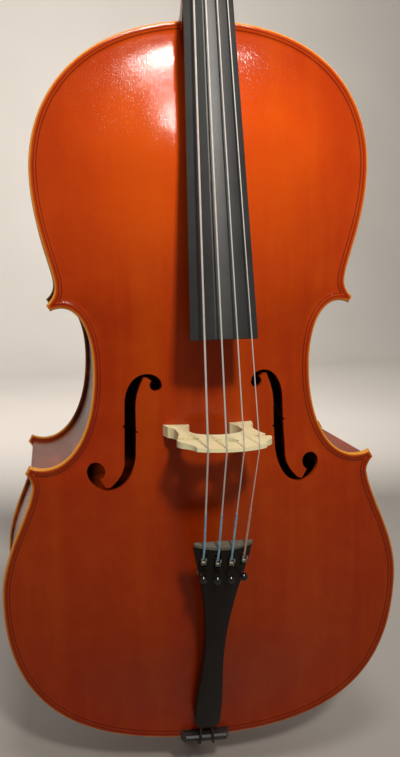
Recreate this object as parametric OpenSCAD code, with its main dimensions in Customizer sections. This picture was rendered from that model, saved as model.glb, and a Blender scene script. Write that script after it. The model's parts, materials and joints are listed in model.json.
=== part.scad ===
// Full-size cello: carved plates on ribs, a maple neck with a scroll, four strings with
// friction pegs and fine tuners, and an endpin that slides in a clamping collar.
// Frame: +Z runs up the instrument from the rubber foot, -Y is the front, +X the treble side.

/* [Body] */
// Length of the body, from its bottom edge to its top edge
body_len = 757.5; // [742:0.5:772]
// Width across the lower bouts
lower_w = 432; // [420:1:444]
// Height of the widest line of the lower bouts
lower_h = 176.5; // [166:0.5:184]
// Width across the tips of the lower corners
lower_corner_w = 374; // [366:1:382]
// Height of the lower corners
lower_corner_h = 316; // [310:0.5:322]
// Width across the waist
waist_w = 228; // [218:1:238]
// Height of the narrowest line of the waist
waist_h = 417.5; // [408:0.5:426]
// Width across the tips of the upper corners
upper_corner_w = 319; // [313:1:325]
// Height of the upper corners
upper_corner_h = 482.5; // [477:0.5:488]
// Width across the upper bouts
upper_w = 344; // [332:1:354]
// Height of the widest line of the upper bouts
upper_h = 617; // [606:0.5:624]
// Width of the blunt end of each corner
corner_end = 8.5; // [7:0.5:10]
// Height of the ribs between the two plates
rib_h = 118; // [112:1:124]
// Thickness of the ribs
rib_t = 1.8; // [1.4:0.1:2.4]
// Overhang of the plates past the ribs
overhang = 4.5; // [3.5:0.1:5.5]
// Thickness of the plates at their edge
edge_t = 4.5; // [4:0.1:5.5]
// Depth of the channel inside the edge
channel = 1.3; // [0.6:0.1:2]
// Thickness of the top plate
top_t = 4.5; // [3.8:0.1:5.5]
// Thickness of the back plate
back_t = 5; // [4:0.1:6]
// Rise of the top plate over the ribs
top_rise = 25; // [22:0.5:28]
// Rise of the back plate over the ribs
back_rise = 26; // [22:0.5:29]
// Height of the bottom edge of the body above the floor
lift = 55.5; // [55:0.5:90]

/* [Sound holes] */
// Distance of the upper eye from the centre line
upper_eye_x = 52; // [48:0.5:55]
// Height of the upper eye
upper_eye_h = 402.5; // [397:0.5:408]
// Diameter of the upper eye
upper_eye_d = 12; // [10:0.1:13.5]
// Distance of the lower eye from the centre line
lower_eye_x = 114; // [111:0.5:117]
// Height of the lower eye
lower_eye_h = 313; // [308:0.5:318]
// Diameter of the lower eye
lower_eye_d = 18.6; // [16.5:0.1:20]
// Width of the slot between the eyes
slot_w = 11; // [9:0.5:12]

/* [Inside] */
// Thickness of the lining strips
lining_t = 2.6; // [2:0.1:3.5]
// Depth of the lining strips
lining_h = 13; // [10:0.5:16]
// Width of the neck block
neck_block_w = 100; // [84:1:120]
// Height of the neck block
neck_block_h = 46; // [38:1:56]
// Width of the end block
end_block_w = 80; // [66:1:100]
// Height of the end block
end_block_h = 26; // [22:1:34]
// Reach of the corner blocks from the tip of their corner
corner_block = 46; // [36:1:56]
// Length of the bass bar
bar_len = 520; // [440:5:560]
// Thickness of the bass bar
bar_t = 11; // [9:0.5:13]
// Depth of the bass bar at its middle
bar_h = 24; // [18:0.5:28]
// Distance of the bass bar's middle from the centre line
bar_x = 24; // [22:0.5:27]
// Diameter of the sound post
post_d = 11; // [10:0.1:12]
// Distance of the sound post from the centre line
post_x = 24; // [20:0.5:28]
// Distance of the sound post's axis below the bridge
post_drop = 17; // [13:0.5:22]

/* [Neck] */
// Length of the neck, from the body's top edge to the nut
neck_len = 280; // [270:1:290]
// Angle between the fingerboard and the ribs
neck_pitch = 9.9; // [9.2:0.05:10.5]
// Height of the neck over the edge of the top plate
overstand = 21; // [18:0.5:24]
// Depth of the neck and fingerboard at the nut
neck_thin = 28.5; // [26:0.5:31]
// Depth of the neck and fingerboard beside the body
neck_thick = 32; // [30:0.5:35]
// Length that the heel reaches past the body's edge at the button
button_len = 20; // [16:0.5:24]
// Width of the button
button_w = 29; // [26:0.5:32]
// Depth of the heel's seat in the neck block
tenon = 7; // [5:0.5:9]

/* [Fingerboard] */
// Length of the fingerboard
board_len = 586; // [570:1:600]
// Width of the fingerboard at the nut
board_nut_w = 32; // [30:0.5:34]
// Width of the fingerboard at its end
board_end_w = 62; // [58:0.5:66]
// Radius of the fingerboard's playing surface
board_r = 62; // [58:0.5:68]
// Thickness of the fingerboard's sides
board_side = 6; // [5:0.1:7.5]
// Part of the half width at which the flat under the lowest string begins
flat_at = 0.33; // [0.25:0.01:0.45]
// Length of the nut
nut_len = 7; // [5:0.5:9]
// Height of the strings over the fingerboard at the nut
nut_gap = 1; // [0.6:0.1:1.6]

/* [Head] */
// Angle of the pegbox back from the fingerboard
head_pitch = 10; // [7:0.5:13]
// Length from the nut to the middle of the volute
volute_up = 176; // [170:1:184]
// Depth of the volute's middle under the fingerboard's line
volute_back = 13; // [10:0.5:16]
// Radius of the volute's first turn at the back
volute_r = 31; // [28:0.5:33]
// Share of its radius that the volute keeps in each turn
volute_keep = 0.6; // [0.55:0.01:0.66]
// Width across the eyes of the scroll
eye_w = 66; // [60:0.5:70]
// Width of the pegbox at the nut
pegbox_wide = 45; // [42:0.5:49]
// Width of the pegbox at the scroll
pegbox_narrow = 30; // [28:0.5:33]
// Thickness of the pegbox's cheeks
cheek = 8; // [7:0.5:9]

/* [Pegs] */
// Diameter of the pegs where the head meets the shank
peg_d = 14; // [13:0.1:15]
// Narrowing of the pegs' diameter over each millimetre of length
peg_taper = 0.035; // [0.02:0.005:0.04]
// Distance from the pegbox to the head of a peg
peg_stand = 10; // [7:0.5:14]
// Distance of the first peg from the nut
peg_first = 27; // [24:0.5:30]
// Distance from peg to peg along the pegbox
peg_step = 33; // [30:0.5:34]
// Depth of the pegs' axes under the fingerboard's line
peg_deep = 24; // [21:0.5:27]
// Running clearance round the pegs
peg_fit = 0.05; // [0.02:0.01:0.1]

/* [Bridge] */
// Distance from the body's top edge to the bridge
stop = 400.5; // [392:0.5:408]
// Width across the bridge's feet
bridge_w = 91.5; // [88:0.5:95]
// Width of the bridge's crest
crest_w = 64; // [60:0.5:68]
// Thickness of the bridge at its feet
bridge_foot_t = 11; // [9:0.5:13]
// Thickness of the bridge at its crest
bridge_crest_t = 2.8; // [2.2:0.1:3.6]
// Radius of the bridge's crest
crest_r = 58; // [52:1:66]
// Shift of the crest's highest point towards the bass side
crest_shift = 3; // [0:0.5:5]
// Lean of the crest towards the fingerboard
crest_lean = 5; // [0:0.5:6]
// Height of the strings over the end of the fingerboard
action = 7.4; // [6:0.1:9]

/* [Strings] */
// Diameters of the strings, from C to A
string_d = [1.8, 1.5, 1.2, 1.0];
// Spread of the outer strings at the nut
nut_spread = 21.5; // [20:0.5:24]
// Spread of the outer strings at the bridge
bridge_spread = 47; // [44:0.5:50]
// Spread of the outer strings at the tailpiece
tail_spread = 39.3; // [37:0.1:40.5]
// Diameter of the silk winding at the tail end
silk_d = 2.1; // [1.9:0.1:2.3]
// Length of the silk winding above the tailpiece
silk_len = 39; // [25:1:50]

/* [Tailpiece] */
// Height between the bridge's crest and the tailpiece
after_len = 102.5; // [95:0.5:110]
// Cord between the tailpiece and the bottom edge
tail_gap = 12.5; // [10:0.5:24]
// Width of the tailpiece's upper end
tail_w = 56; // [54:0.5:60]
// Width of the tailpiece's narrowest part
tail_waist_w = 19.4; // [17:0.2:24]
// Width of the tailpiece's lower end
tail_end_w = 27.4; // [25:0.2:31]
// Radius of the tailpiece's front
tail_r = 59.5; // [55:0.5:66]
// Depth of the tailpiece's upper end
tail_tip = 8.5; // [8:0.1:10]
// Depth of the tailpiece under the fine tuners
tail_deep = 14; // [13:0.5:16]
// Depth of the tailpiece at its lower end
tail_thin = 10; // [8:0.5:12]
// Thickness of the string fret on the upper end
fret_t = 3; // [2:0.5:4]
// Rise of the string fret over the tailpiece
fret_rise = 0.8; // [0.5:0.1:1.4]
// Diameter of the tail cord
gut_d = 2.6; // [2:0.1:3]
// Distance between the tail cord's two legs at the tailpiece
gut_gap = 12; // [9:0.5:14]
// Width of the saddle
saddle_w = 54; // [46:1:60]
// Rise of the saddle over the edge of the top plate
saddle_rise = 9; // [7:0.5:11]
// Height of the saddle up the plate
saddle_h = 9; // [7:0.5:11]

/* [Fine tuners] */
// Width of the tuners' levers
lever_w = 5.2; // [4.8:0.1:5.6]
// Clearance beside the levers in their slots
lever_gap = 0.4; // [0.3:0.05:0.6]
// Width of the fork that holds the string
fork_w = 2.8; // [2.6:0.05:3]
// Diameter of the levers' axle
axle_d = 2.5; // [2:0.1:3]
// Running clearance round the axle and the screws
tuner_fit = 0.05; // [0.02:0.01:0.1]
// Distance of the levers' axle from the tailpiece's upper end
axle_at = 15; // [14:0.5:16]
// Distance of the screws from the tailpiece's upper end
screw_at = 34.5; // [32.5:0.5:36.5]
// Diameter of the screws
screw_d = 3; // [2.6:0.1:3.2]
// Diameter of the screws' knurled heads
knob_d = 7.6; // [6.5:0.1:8.5]
// Height of the screws' knurled heads
knob_h = 5.5; // [4.5:0.1:7]
// Travel of a screw each way from its middle
screw_travel = 2.1; // [1.4:0.1:2.2]

/* [Endpin] */
// Diameter of the rod
rod_d = 10; // [8:0.5:12]
// Length of the rod
rod_len = 480; // [420:5:520]
// Running clearance round the rod
rod_fit = 0.08; // [0.03:0.01:0.1]
// Diameter of the collar's plug in the end block
plug_d = 25; // [22:0.5:28]
// Diameter of the collar's flange
flange_d = 34; // [30:0.5:38]
// Height of the collar under the body
collar_h = 30; // [26:0.5:31]
// Diameter of the clamping screw
clamp_d = 6; // [5:0.5:6.5]
// Diameter of the clamping screw's knob
clamp_knob_d = 15; // [13:0.5:17]
// Diameter of the rubber foot
foot_d = 18; // [16:0.5:22]
// Height of the rubber foot
foot_h = 24; // [19:0.5:25]

/* [Hidden] */
$fn = 48;
strings = ["c", "g", "d", "a"];

// --- places worked out from the sizes above ---
half_rib = rib_h / 2;
top_z = lift + body_len;
bridge_z = top_z - stop;
touch = 0.05;
crest_top = half_rib + top_rise;

// Glue plane of the fingerboard: depth under the playing surface at each end
function sag(r, x) = r - sqrt(r * r - x * x);
board_t_nut = sag(board_r, board_nut_w / 2) + board_side;
board_t_end = sag(board_r, board_end_w / 2) + board_side;
function board_part(v) = (neck_len - v) / board_len;
function board_t(v) = mix(board_t_nut, board_t_end, board_part(v));
function board_w(v) = mix(board_nut_w, board_end_w, board_part(v));
board_y = -(half_rib + edge_t + overstand + board_t(0));

// A point of the neck's own plane: v runs up the neck, w runs into its depth
function neck_pt(v, w) = [
  board_y + v * sin(neck_pitch) + w * cos(neck_pitch),
  top_z + v * cos(neck_pitch) - w * sin(neck_pitch)
];
function string_w(v) = -mix(nut_gap, action, board_part(v));
crest_z = bridge_z + crest_lean;
crest_v = (crest_z - top_z) / cos(neck_pitch);
crest_y = neck_pt(crest_v, string_w(crest_v))[0];
saddle_y = -(half_rib + edge_t + saddle_rise);
tail_pitch = atan((saddle_y - crest_y) / (crest_z - lift));
tail_h = crest_z - lift - after_len;
tail_len = tail_h - tail_gap;
tail_z = lift + tail_h;
tail_y = crest_y + (crest_z - tail_z) * tan(tail_pitch) + fret_rise + 1;

// --- small helpers ---
function mix(a, b, t) = a + (b - a) * t;
function clamp(x, lo, hi) = min(max(x, lo), hi);
function unit(v) = v / norm(v);
function bez(p, t) =
  pow(1 - t, 3) * p[0] + 3 * t * pow(1 - t, 2) * p[1] + 3 * t * t * (1 - t) * p[2] + pow(t, 3) * p[3];
function curve(p, n) = [for (i = [0:n - 1]) bez(p, i / n)];
function flip(pts) = [for (i = [len(pts) - 1:-1:0]) [-pts[i][0], pts[i][1]]];

// --- outline of the plates: x from the centre line, height from the bottom edge ---
low = lower_w / 2;
wst = waist_w / 2;
upp = upper_w / 2;
lcx = lower_corner_w / 2;
ucx = upper_corner_w / 2;
ce = corner_end / 2;
half_outline = concat(
  curve([[0, 0], [0.71 * low, 0], [low, 0.35 * lower_h], [low, lower_h]], 12),
  curve([[low, lower_h], [low, lower_h + 48], [lcx - 2, lower_corner_h - 50],
         [lcx - 6.5, lower_corner_h - 19]], 9),
  curve([[lcx - 6.5, lower_corner_h - 19], [lcx - 6.5, lower_corner_h - 13],
         [lcx - 3.5, lower_corner_h - ce - 4], [lcx, lower_corner_h - ce]], 3),
  [[lcx, lower_corner_h - ce]],
  curve([[lcx - 4.5, lower_corner_h + ce], [lcx - 37, lower_corner_h - 12],
         [wst, waist_h - 0.76 * (waist_h - lower_corner_h)], [wst, waist_h]], 10),
  curve([[wst, waist_h], [wst, waist_h + 0.75 * (upper_corner_h - waist_h)],
         [ucx - 26.5, upper_corner_h + 7.5], [ucx - 4, upper_corner_h - ce + 1]], 8),
  [[ucx - 4, upper_corner_h - ce + 1]],
  curve([[ucx, upper_corner_h + ce - 1], [ucx - 4, upper_corner_h + ce + 2],
         [ucx - 9, upper_corner_h + ce + 8], [ucx - 9, upper_corner_h + ce + 16]], 3),
  curve([[ucx - 9, upper_corner_h + ce + 16], [ucx - 9, upper_corner_h + ce + 34],
         [upp, upper_h - 53], [upp, upper_h]], 8),
  curve([[upp, upper_h], [upp, upper_h + 67], [0.74 * upp, body_len], [0, body_len]], 12)
);
half_n = len(half_outline);
outline = concat(half_outline, [[0, body_len]],
  [for (i = [half_n - 1:-1:1]) [-half_outline[i][0], half_outline[i][1]]]);
out_n = len(outline);

// Running mean of the outline, which draws the corners in
mean_reach = 4;
soft_outline = [for (i = [0:out_n - 1])
  let (near = [for (j = [-mean_reach:mean_reach]) outline[(i + j + out_n) % out_n]])
  [sum([for (p = near) p[0]]), sum([for (p = near) p[1]])] / len(near)];
function sum(v, i = 0) = i < len(v) ? v[i] + sum(v, i + 1) : 0;

// --- arching: rings run from the outline (t = 0) to the spine on the centre line (t = 1) ---
spine_lo = lower_h - 24;
spine_hi = upper_h - 4;
arch_start = 0.06;
function spine(p) = [0, clamp(p[1], spine_lo, spine_hi)];
function ring_xy(i, t) =
  mix(mix(outline[i], soft_outline[i], min(1, t / 0.15)), spine(outline[i]), t);
function long_rise(rise, h) = rise - 4 * pow((h - bridge_z + lift) / (body_len / 2), 2);
function swell(t) = (1 - cos(180 * pow(clamp((t - arch_start) / (1 - arch_start), 0, 1), 0.85))) / 2;
function arch(rise, t, h) =
  edge_t - channel + (long_rise(rise, h) - edge_t + channel) * swell(t);

// Height of a plate's outer surface over the ribs at a place between the bouts
side_line = [for (i = [1:half_n - 1]) [soft_outline[i][1], soft_outline[i][0]]];
function arch_at(rise, x, h) = arch(rise, 1 - abs(x) / lookup(h, side_line), h);

// The rings of a plate: [distance in from the edge, share of the way to the spine, surface]
ring_shares = [0.16, 0.3, 0.45, 0.6, 0.75, 0.9];
function edge_ring(d, z) = [for (i = [0:out_n - 1])
  let (t = d / norm(outline[i] - spine(outline[i])))
  let (p = ring_xy(i, t)) [p[0], -half_rib - z, lift + p[1]]];
function arch_ring(rise, t, cut) = [for (i = [0:out_n - 1])
  let (p = ring_xy(i, t)) [p[0], -half_rib - max(0.4, arch(rise, t, p[1]) - cut), lift + p[1]]];
function band(a, b) = [for (i = [0:out_n - 1])
  let (j = (i + 1) % out_n) [a * out_n + i, a * out_n + j, b * out_n + j, b * out_n + i]];
function cap(a) = [for (i = [0:half_n - 1])
  let (l = (out_n - i) % out_n, m = out_n - i - 1)
  i == 0 ? [a * out_n, a * out_n + 1, a * out_n + m]
  : i == half_n - 1 ? [a * out_n + i, a * out_n + i + 1, a * out_n + l]
  : [a * out_n + i, a * out_n + i + 1, a * out_n + m, a * out_n + l]];
function turned(faces) = [for (f = faces) [for (i = [len(f) - 1:-1:0]) f[i]]];

module plate_shell(rise, thick) {
  glue = overhang + rib_t + lining_t + 2;
  outer = [edge_ring(0, 0), edge_ring(0, edge_t - 1), edge_ring(1.8, edge_t),
           edge_ring(9, edge_t - channel)];
  outer_arch = [for (t = ring_shares) arch_ring(rise, t, 0)];
  inner = [for (t = ring_shares) arch_ring(rise, t, thick)];
  rings = concat(outer, outer_arch, [edge_ring(glue, 0)], inner);
  top_ring = len(outer) + len(outer_arch) - 1;
  last_ring = len(rings) - 1;
  faces = concat(
    [for (k = [0:top_ring - 1]) each band(k, k + 1)], cap(top_ring),
    turned([for (k = [top_ring + 1:last_ring - 1]) each band(k, k + 1)]), turned(cap(last_ring)),
    turned(band(0, top_ring + 1)));
  polyhedron(points = [for (r = rings) each r], faces = faces, convexity = 10);
}

// --- flat shapes in the plane of the ribs, and slabs made from them ---
module slab(y_back, t) {
  translate([0, y_back, lift]) rotate([90, 0, 0]) linear_extrude(t) children();
}
module inside(d) {
  offset(delta = -d) polygon(outline);
}
rib_in = overhang + rib_t;

// Sound hole of the treble side: a slot that sweeps from eye to eye
stem_in = (upper_eye_x + lower_eye_x) / 2 - 10.8;
stem_out = stem_in + slot_w;
ue = upper_eye_d / 2;
le = lower_eye_d / 2;
sound_slot = concat(
  curve([[upper_eye_x - ue, upper_eye_h - 1], [upper_eye_x - ue, upper_eye_h + 7],
         [upper_eye_x, upper_eye_h + 11.5], [upper_eye_x + 8, upper_eye_h + 11.5]], 7),
  curve([[upper_eye_x + 8, upper_eye_h + 11.5], [upper_eye_x + 19, upper_eye_h + 11.5],
         [stem_out, upper_eye_h + 1], [stem_out, upper_eye_h - 23]], 8),
  [[stem_out + 0.5, bridge_z - lift + 4], [stem_out + 3, bridge_z - lift + 2.5],
   [stem_out + 0.6, bridge_z - lift + 1]],
  curve([[stem_out + 1.7, lower_eye_h + 8.5], [stem_out + 2.7, lower_eye_h - 1.5],
         [lower_eye_x - 21, lower_eye_h - 10.5], [lower_eye_x - 13.5, lower_eye_h - 17]], 7),
  [[lower_eye_x - 10, lower_eye_h - 17.1], [lower_eye_x - 3.3, lower_eye_h - 7]],
  [[lower_eye_x + le - 0.1, lower_eye_h]],
  curve([[lower_eye_x + le, lower_eye_h - 0.5], [lower_eye_x + le, lower_eye_h - 11],
         [lower_eye_x - 2, lower_eye_h - 20], [lower_eye_x - 11.5, lower_eye_h - 20]], 8),
  curve([[lower_eye_x - 11.5, lower_eye_h - 20], [lower_eye_x - 25, lower_eye_h - 20],
         [stem_in + 3.3, lower_eye_h - 8], [stem_in + 0.6, lower_eye_h + 20.5]], 8),
  [[stem_in + 0.2, bridge_z - lift - 4.2], [stem_in - 2.6, bridge_z - lift - 3],
   [stem_in + 0.1, bridge_z - lift - 1.8]],
  curve([[stem_in, upper_eye_h - 23], [stem_in - 0.2, upper_eye_h - 9],
         [stem_in - 6, upper_eye_h + 2], [upper_eye_x + 11.5, upper_eye_h + 8.5]], 7),
  [[upper_eye_x + 8.5, upper_eye_h + 7.7], [upper_eye_x + 4, upper_eye_h + 4.3]]
);
module sound_hole() {
  slab(-half_rib + 8, 60) {
    polygon(sound_slot);
    translate([upper_eye_x, upper_eye_h]) circle(d = upper_eye_d);
    translate([lower_eye_x, lower_eye_h]) circle(d = lower_eye_d);
  }
}

// --- body ---
module top_plate() {
  color([0.78, 0.26, 0.05])
  difference() {
    plate_shell(top_rise, top_t);
    sound_hole();
    mirror([1, 0, 0]) sound_hole();
    neck_loft();
    translate([-saddle_w / 2, -half_rib - edge_t - 5, lift - 5])
      cube([saddle_w, edge_t + 6, saddle_h + 5]);
  }
}

module back_plate() {
  color([0.62, 0.22, 0.05])
  union() {
    mirror([0, 1, 0]) plate_shell(back_rise, back_t);
    slab(half_rib + edge_t - 0.3, edge_t - 0.3) {
      translate([0, body_len + button_len - button_w / 2]) circle(d = button_w);
      translate([-button_w / 2, body_len - 8])
        square([button_w, 8 + button_len - button_w / 2]);
    }
  }
}

// The ring of ribs, cut at the bottom joint, at the corners and at the neck
lower_cut = [lower_corner_h - 20, lower_corner_h];
upper_cut = [upper_corner_h + 22, upper_corner_h];
far = 400;
module rib(region) {
  color([0.45, 0.2, 0.16])
  difference() {
    slab(half_rib, rib_h) intersection() {
      difference() {
        inside(overhang);
        inside(rib_in);
      }
      polygon(region);
    }
    neck_loft();
    translate([0, 0, lift - 20]) cylinder(d = plug_d, h = 40);
  }
}
module rib_lower(side) {
  rib([for (p = [[0.05, -20], [far, -20], [far, lower_cut[1] - 0.1], [lcx, lower_cut[1] - 0.1],
                 [0.05, lower_cut[0]]]) [side * p[0], p[1]]]);
}
module rib_waist(side) {
  rib([for (p = [[0.05, lower_cut[0]], [lcx, lower_cut[1]], [far, lower_cut[1]],
                 [far, upper_cut[1]], [ucx, upper_cut[1]], [0.05, upper_cut[0]]])
       [side * p[0], p[1]]]);
}
module rib_upper(side) {
  rib([for (p = [[0.05, upper_cut[0]], [ucx, upper_cut[1] + 0.1], [far, upper_cut[1] + 0.1],
                 [far, body_len + 20], [0.05, body_len + 20]]) [side * p[0], p[1]]]);
}

// Areas of the blocks, seen from the front
module block_areas() {
  translate([-neck_block_w / 2, body_len - rib_in - neck_block_h])
    square([neck_block_w, neck_block_h + 30]);
  translate([-end_block_w / 2, -10]) square([end_block_w, rib_in + end_block_h + 10]);
  corner_areas();
}
module corner_areas() {
  for (s = [-1, 1]) {
    translate([s * lcx, lower_corner_h]) circle(r = corner_block);
    translate([s * ucx, upper_corner_h]) circle(r = corner_block);
  }
}
module linings(y_back) {
  color([0.86, 0.74, 0.52])
  slab(y_back, lining_h) difference() {
    inside(rib_in);
    inside(rib_in + lining_t);
    block_areas();
  }
}
module top_linings() { linings(-half_rib + lining_h); }
module back_linings() { linings(half_rib); }

module neck_block() {
  color([0.88, 0.78, 0.58])
  difference() {
    slab(half_rib, rib_h) intersection() {
      inside(rib_in);
      translate([-neck_block_w / 2, body_len - rib_in - neck_block_h])
        square([neck_block_w, neck_block_h + 30]);
    }
    neck_loft();
  }
}
module end_block() {
  color([0.88, 0.78, 0.58])
  difference() {
    slab(half_rib, rib_h) intersection() {
      inside(rib_in);
      translate([-end_block_w / 2, -10]) square([end_block_w, rib_in + end_block_h + 10]);
    }
    translate([0, 0, lift - 20]) cylinder(d = plug_d, h = end_block_h + 60);
  }
}
module corner_blocks() {
  color([0.88, 0.78, 0.58])
  slab(half_rib, rib_h) intersection() {
    inside(rib_in);
    corner_areas();
  }
}

// The bar follows the inside of the top plate and thins out towards its ends
bar_mid = bridge_z - lift + 10;
bar_seat = 0.45;
function bar_top(h) = half_rib + arch_at(top_rise, bar_x + bar_t / 2, h) - top_t - bar_seat;
module bass_bar() {
  steps = 16;
  hs = [for (i = [0:steps]) clamp(bar_mid + bar_len * (i / steps - 0.5), spine_lo, spine_hi)];
  color([0.9, 0.8, 0.6])
  translate([-bar_x + bar_t / 2, 0, lift]) rotate([0, -90, 0]) linear_extrude(bar_t)
    polygon(concat(
      [for (h = hs) [h, -bar_top(h)]],
      [for (i = [steps:-1:0])
        [hs[i], -bar_top(hs[i]) + 5 + (bar_h - 5) * pow(cos(180 * (i / steps - 0.5)), 0.8)]]));
}
module soundpost() {
  post_h = bridge_z - lift - post_drop;
  front = half_rib + arch_at(top_rise, post_x + post_d / 2, post_h) - top_t - touch;
  back = half_rib + arch_at(back_rise, post_x + post_d / 2, post_h) - back_t - touch;
  color([0.9, 0.8, 0.6])
  translate([post_x, -front, lift + post_h]) rotate([-90, 0, 0])
    cylinder(d = post_d, h = front + back);
}

// --- neck, with heel, pegbox and scroll ---
// Rings of half ellipses: the chord lies on the block or on the glue plane, and the crown
// follows the heel's hollow curve into the neck.
heel_root = top_z - overhang - tenon;
function under(v) = mix(neck_thin, neck_thick, board_part(v) * board_len / neck_len);
heel_v = 62;
heel_curve = [[half_rib, top_z + button_len], [half_rib * 0.1, top_z + 14],
              neck_pt(16, under(16)), neck_pt(heel_v, under(heel_v))];
glue_corner = [neck_pt(-6, board_t(-6))[0], heel_root];
heel_rings = [for (i = [0:8])
  let (t = i / 9, a = min(1, t / 0.72))
  [t < 0.72 ? mix([half_rib, heel_root], glue_corner, a)
            : mix(glue_corner, neck_pt(heel_v, board_t(heel_v)), (t - 0.72) / 0.28),
   bez(heel_curve, t), mix(button_w / 2, board_w(0) / 2, pow(a, 1.4))]];
neck_rings = [for (v = [heel_v, 0.4 * neck_len, 0.7 * neck_len, 0.9 * neck_len, neck_len + 2])
  [neck_pt(v, board_t(v)), neck_pt(v, under(v)), board_w(v) / 2]];
loft_rings = concat(heel_rings, neck_rings);
ring_steps = 14;
function loft_ring(r) = [for (j = [0:ring_steps])
  let (f = 180 * j / ring_steps, p = mix(r[0], r[1], pow(sin(f), 0.85)))
  [r[2] * cos(f), p[0], p[1]]];
module neck_loft() {
  n = ring_steps + 1;
  polyhedron(
    points = [for (r = loft_rings) each loft_ring(r)],
    faces = concat(
      [[for (j = [0:n - 1]) j]],
      [for (k = [0:len(loft_rings) - 2]) each [for (j = [0:n - 1])
        let (m = (j + 1) % n) [k * n + m, k * n + j, (k + 1) * n + j, (k + 1) * n + m]]],
      [[for (j = [n - 1:-1:0]) (len(loft_rings) - 1) * n + j]]),
    convexity = 6);
}

// Frames of the neck, the head and the tailpiece: +Z runs up them, -Y is their front
module on_neck() {
  translate([0, board_y, top_z]) rotate([-neck_pitch, 0, 0]) children();
}
module on_head() {
  on_neck() translate([0, 0, neck_len]) rotate([-head_pitch, 0, 0]) children();
}
module on_tail() {
  translate([0, tail_y, tail_z]) rotate([tail_pitch, 0, 0]) children();
}
// A shape drawn as (depth, height) becomes a body across the instrument
module across(w) {
  translate([-w / 2, 0, 0]) rotate([90, 0, 90]) linear_extrude(w) children();
}

// Side view of the pegbox: [depth, height], starting under the fingerboard's end
function head_of(v, w) = [w * cos(head_pitch) - v * sin(head_pitch),
                          v * cos(head_pitch) + w * sin(head_pitch)];
pegbox_side = concat(
  [head_of(-2, board_t_nut + 0.3), head_of(0.3, board_t_nut + 0.3), [6, nut_len],
   [6, volute_up - 22], [volute_back, volute_up - 12]],
  curve([[volute_back + volute_r - 4, volute_up - 2], [volute_back + volute_r - 1, volute_up - 20],
         [38, volute_up - 34], [39, volute_up - 52]], 5),
  curve([[39, volute_up - 52], [40, volute_up - 80], [47, 78], [45, 42]], 6),
  curve([[45, 42], [43.5, 18], [40, 4], [neck_thin, -10]], 6),
  [[neck_thin - 4, -9]]
);
// Front view of one half of the pegbox: [half width, height]
pegbox_half = concat(
  [[0, -12], [board_nut_w / 2 - 3, -10]],
  curve([[board_nut_w / 2, -2], [board_nut_w / 2 + 3, 3], [pegbox_wide / 2, 4],
         [pegbox_wide / 2, 20]], 5),
  [[pegbox_wide / 2, 22], [pegbox_narrow / 2, volute_up - 26], [pegbox_narrow / 2 - 1, volute_up],
   [0, volute_up]]);
cavity_half = [[0, 12], [pegbox_wide / 2 - cheek, 14], [pegbox_narrow / 2 - cheek + 1.5, volute_up - 32],
               [0, volute_up - 29]];
module front_view(half, depth) {
  translate([0, depth, 0]) rotate([90, 0, 0]) linear_extrude(depth + 20)
    polygon(concat(half, flip(half)));
}
module pegbox() {
  difference() {
    intersection() {
      across(pegbox_wide + 10) polygon(pegbox_side);
      front_view(pegbox_half, 60);
    }
    front_view(cavity_half, 34);
    for (i = [0:3]) peg_bore(i);
  }
}

// The volute: bands that wind in and step out, turn by turn
per_turn = 24;
turn_start = -60;
turn_n = 60;
function volute_angle(k) = turn_start + 360 * k / per_turn;
function volute_radius(k) = volute_r * pow(volute_keep, volute_angle(k) / 360);
function volute_half(k) = mix(pegbox_narrow / 2 - 0.5, eye_w / 2, k / turn_n);
function volute_at(k, dr, x) =
  let (r = volute_radius(k) + dr, f = volute_angle(k))
  [x, volute_back + r * cos(f), volute_up + r * sin(f)];
dish = 1.4;
// Across the first turn: edge, chamfer, flute, spine, flute, chamfer, edge
function volute_row(k) = let (w = volute_half(k))
  [for (c = [[w, -1.2], [w - 1.6, 0], [w / 2, -2.6], [0, 0], [-w / 2, -2.6], [1.6 - w, 0], [-w, -1.2]])
    volute_at(k, c[1], c[0])];
row_pts = [for (k = [0:per_turn]) each volute_row(k)];
rim_base = len(row_pts);
rims = [for (s = [1, -1]) each [for (k = [0:turn_n]) volute_at(k, -1.2, s * volute_half(k))]];
foot_base = rim_base + len(rims);
feet = [for (s = [1, -1]) each [for (k = [0:turn_n - per_turn])
  volute_at(k + per_turn, -1.2, s * (volute_half(k) - dish))]];
eye_base = foot_base + len(feet);
eyes = [for (s = [1, -1]) [s * (eye_w / 2 + 0.6), volute_back, volute_up]];
// Numbers of the points: a rim of the first turn is the end of its row
function rim(s, k) = k <= per_turn ? k * 7 + (s > 0 ? 0 : 6) : rim_base + (s > 0 ? 0 : turn_n + 1) + k;
function foot(s, k) = foot_base + (s > 0 ? 0 : turn_n - per_turn + 1) + k;
last_foot = turn_n - per_turn;
function turned_over(f) = [for (i = [len(f) - 1:-1:0]) f[i]];
function facing(s, f) = s > 0 ? f : turned_over(f);
function side_faces(s) = concat(
  [for (k = [0:last_foot - 1]) facing(s, [rim(s, k), rim(s, k + 1), foot(s, k + 1), foot(s, k)])],
  [for (k = [1:last_foot - 1])
    facing(s, [foot(s, k), foot(s, k + 1), rim(s, k + 1 + per_turn), rim(s, k + per_turn)])],
  [facing(s, [foot(s, 0), foot(s, 1), rim(s, 1 + per_turn), rim(s, per_turn),
              per_turn * 7 + (s > 0 ? 1 : 5)])],
  [for (k = [last_foot:turn_n - 1])
    facing(s, [rim(s, k), rim(s, k + 1), eye_base + (s > 0 ? 0 : 1)])],
  [facing(s, [rim(s, turn_n), foot(s, last_foot), eye_base + (s > 0 ? 0 : 1)])],
  [facing(s, [foot(s, last_foot), rim(s, last_foot), eye_base + (s > 0 ? 0 : 1)])]);
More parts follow.
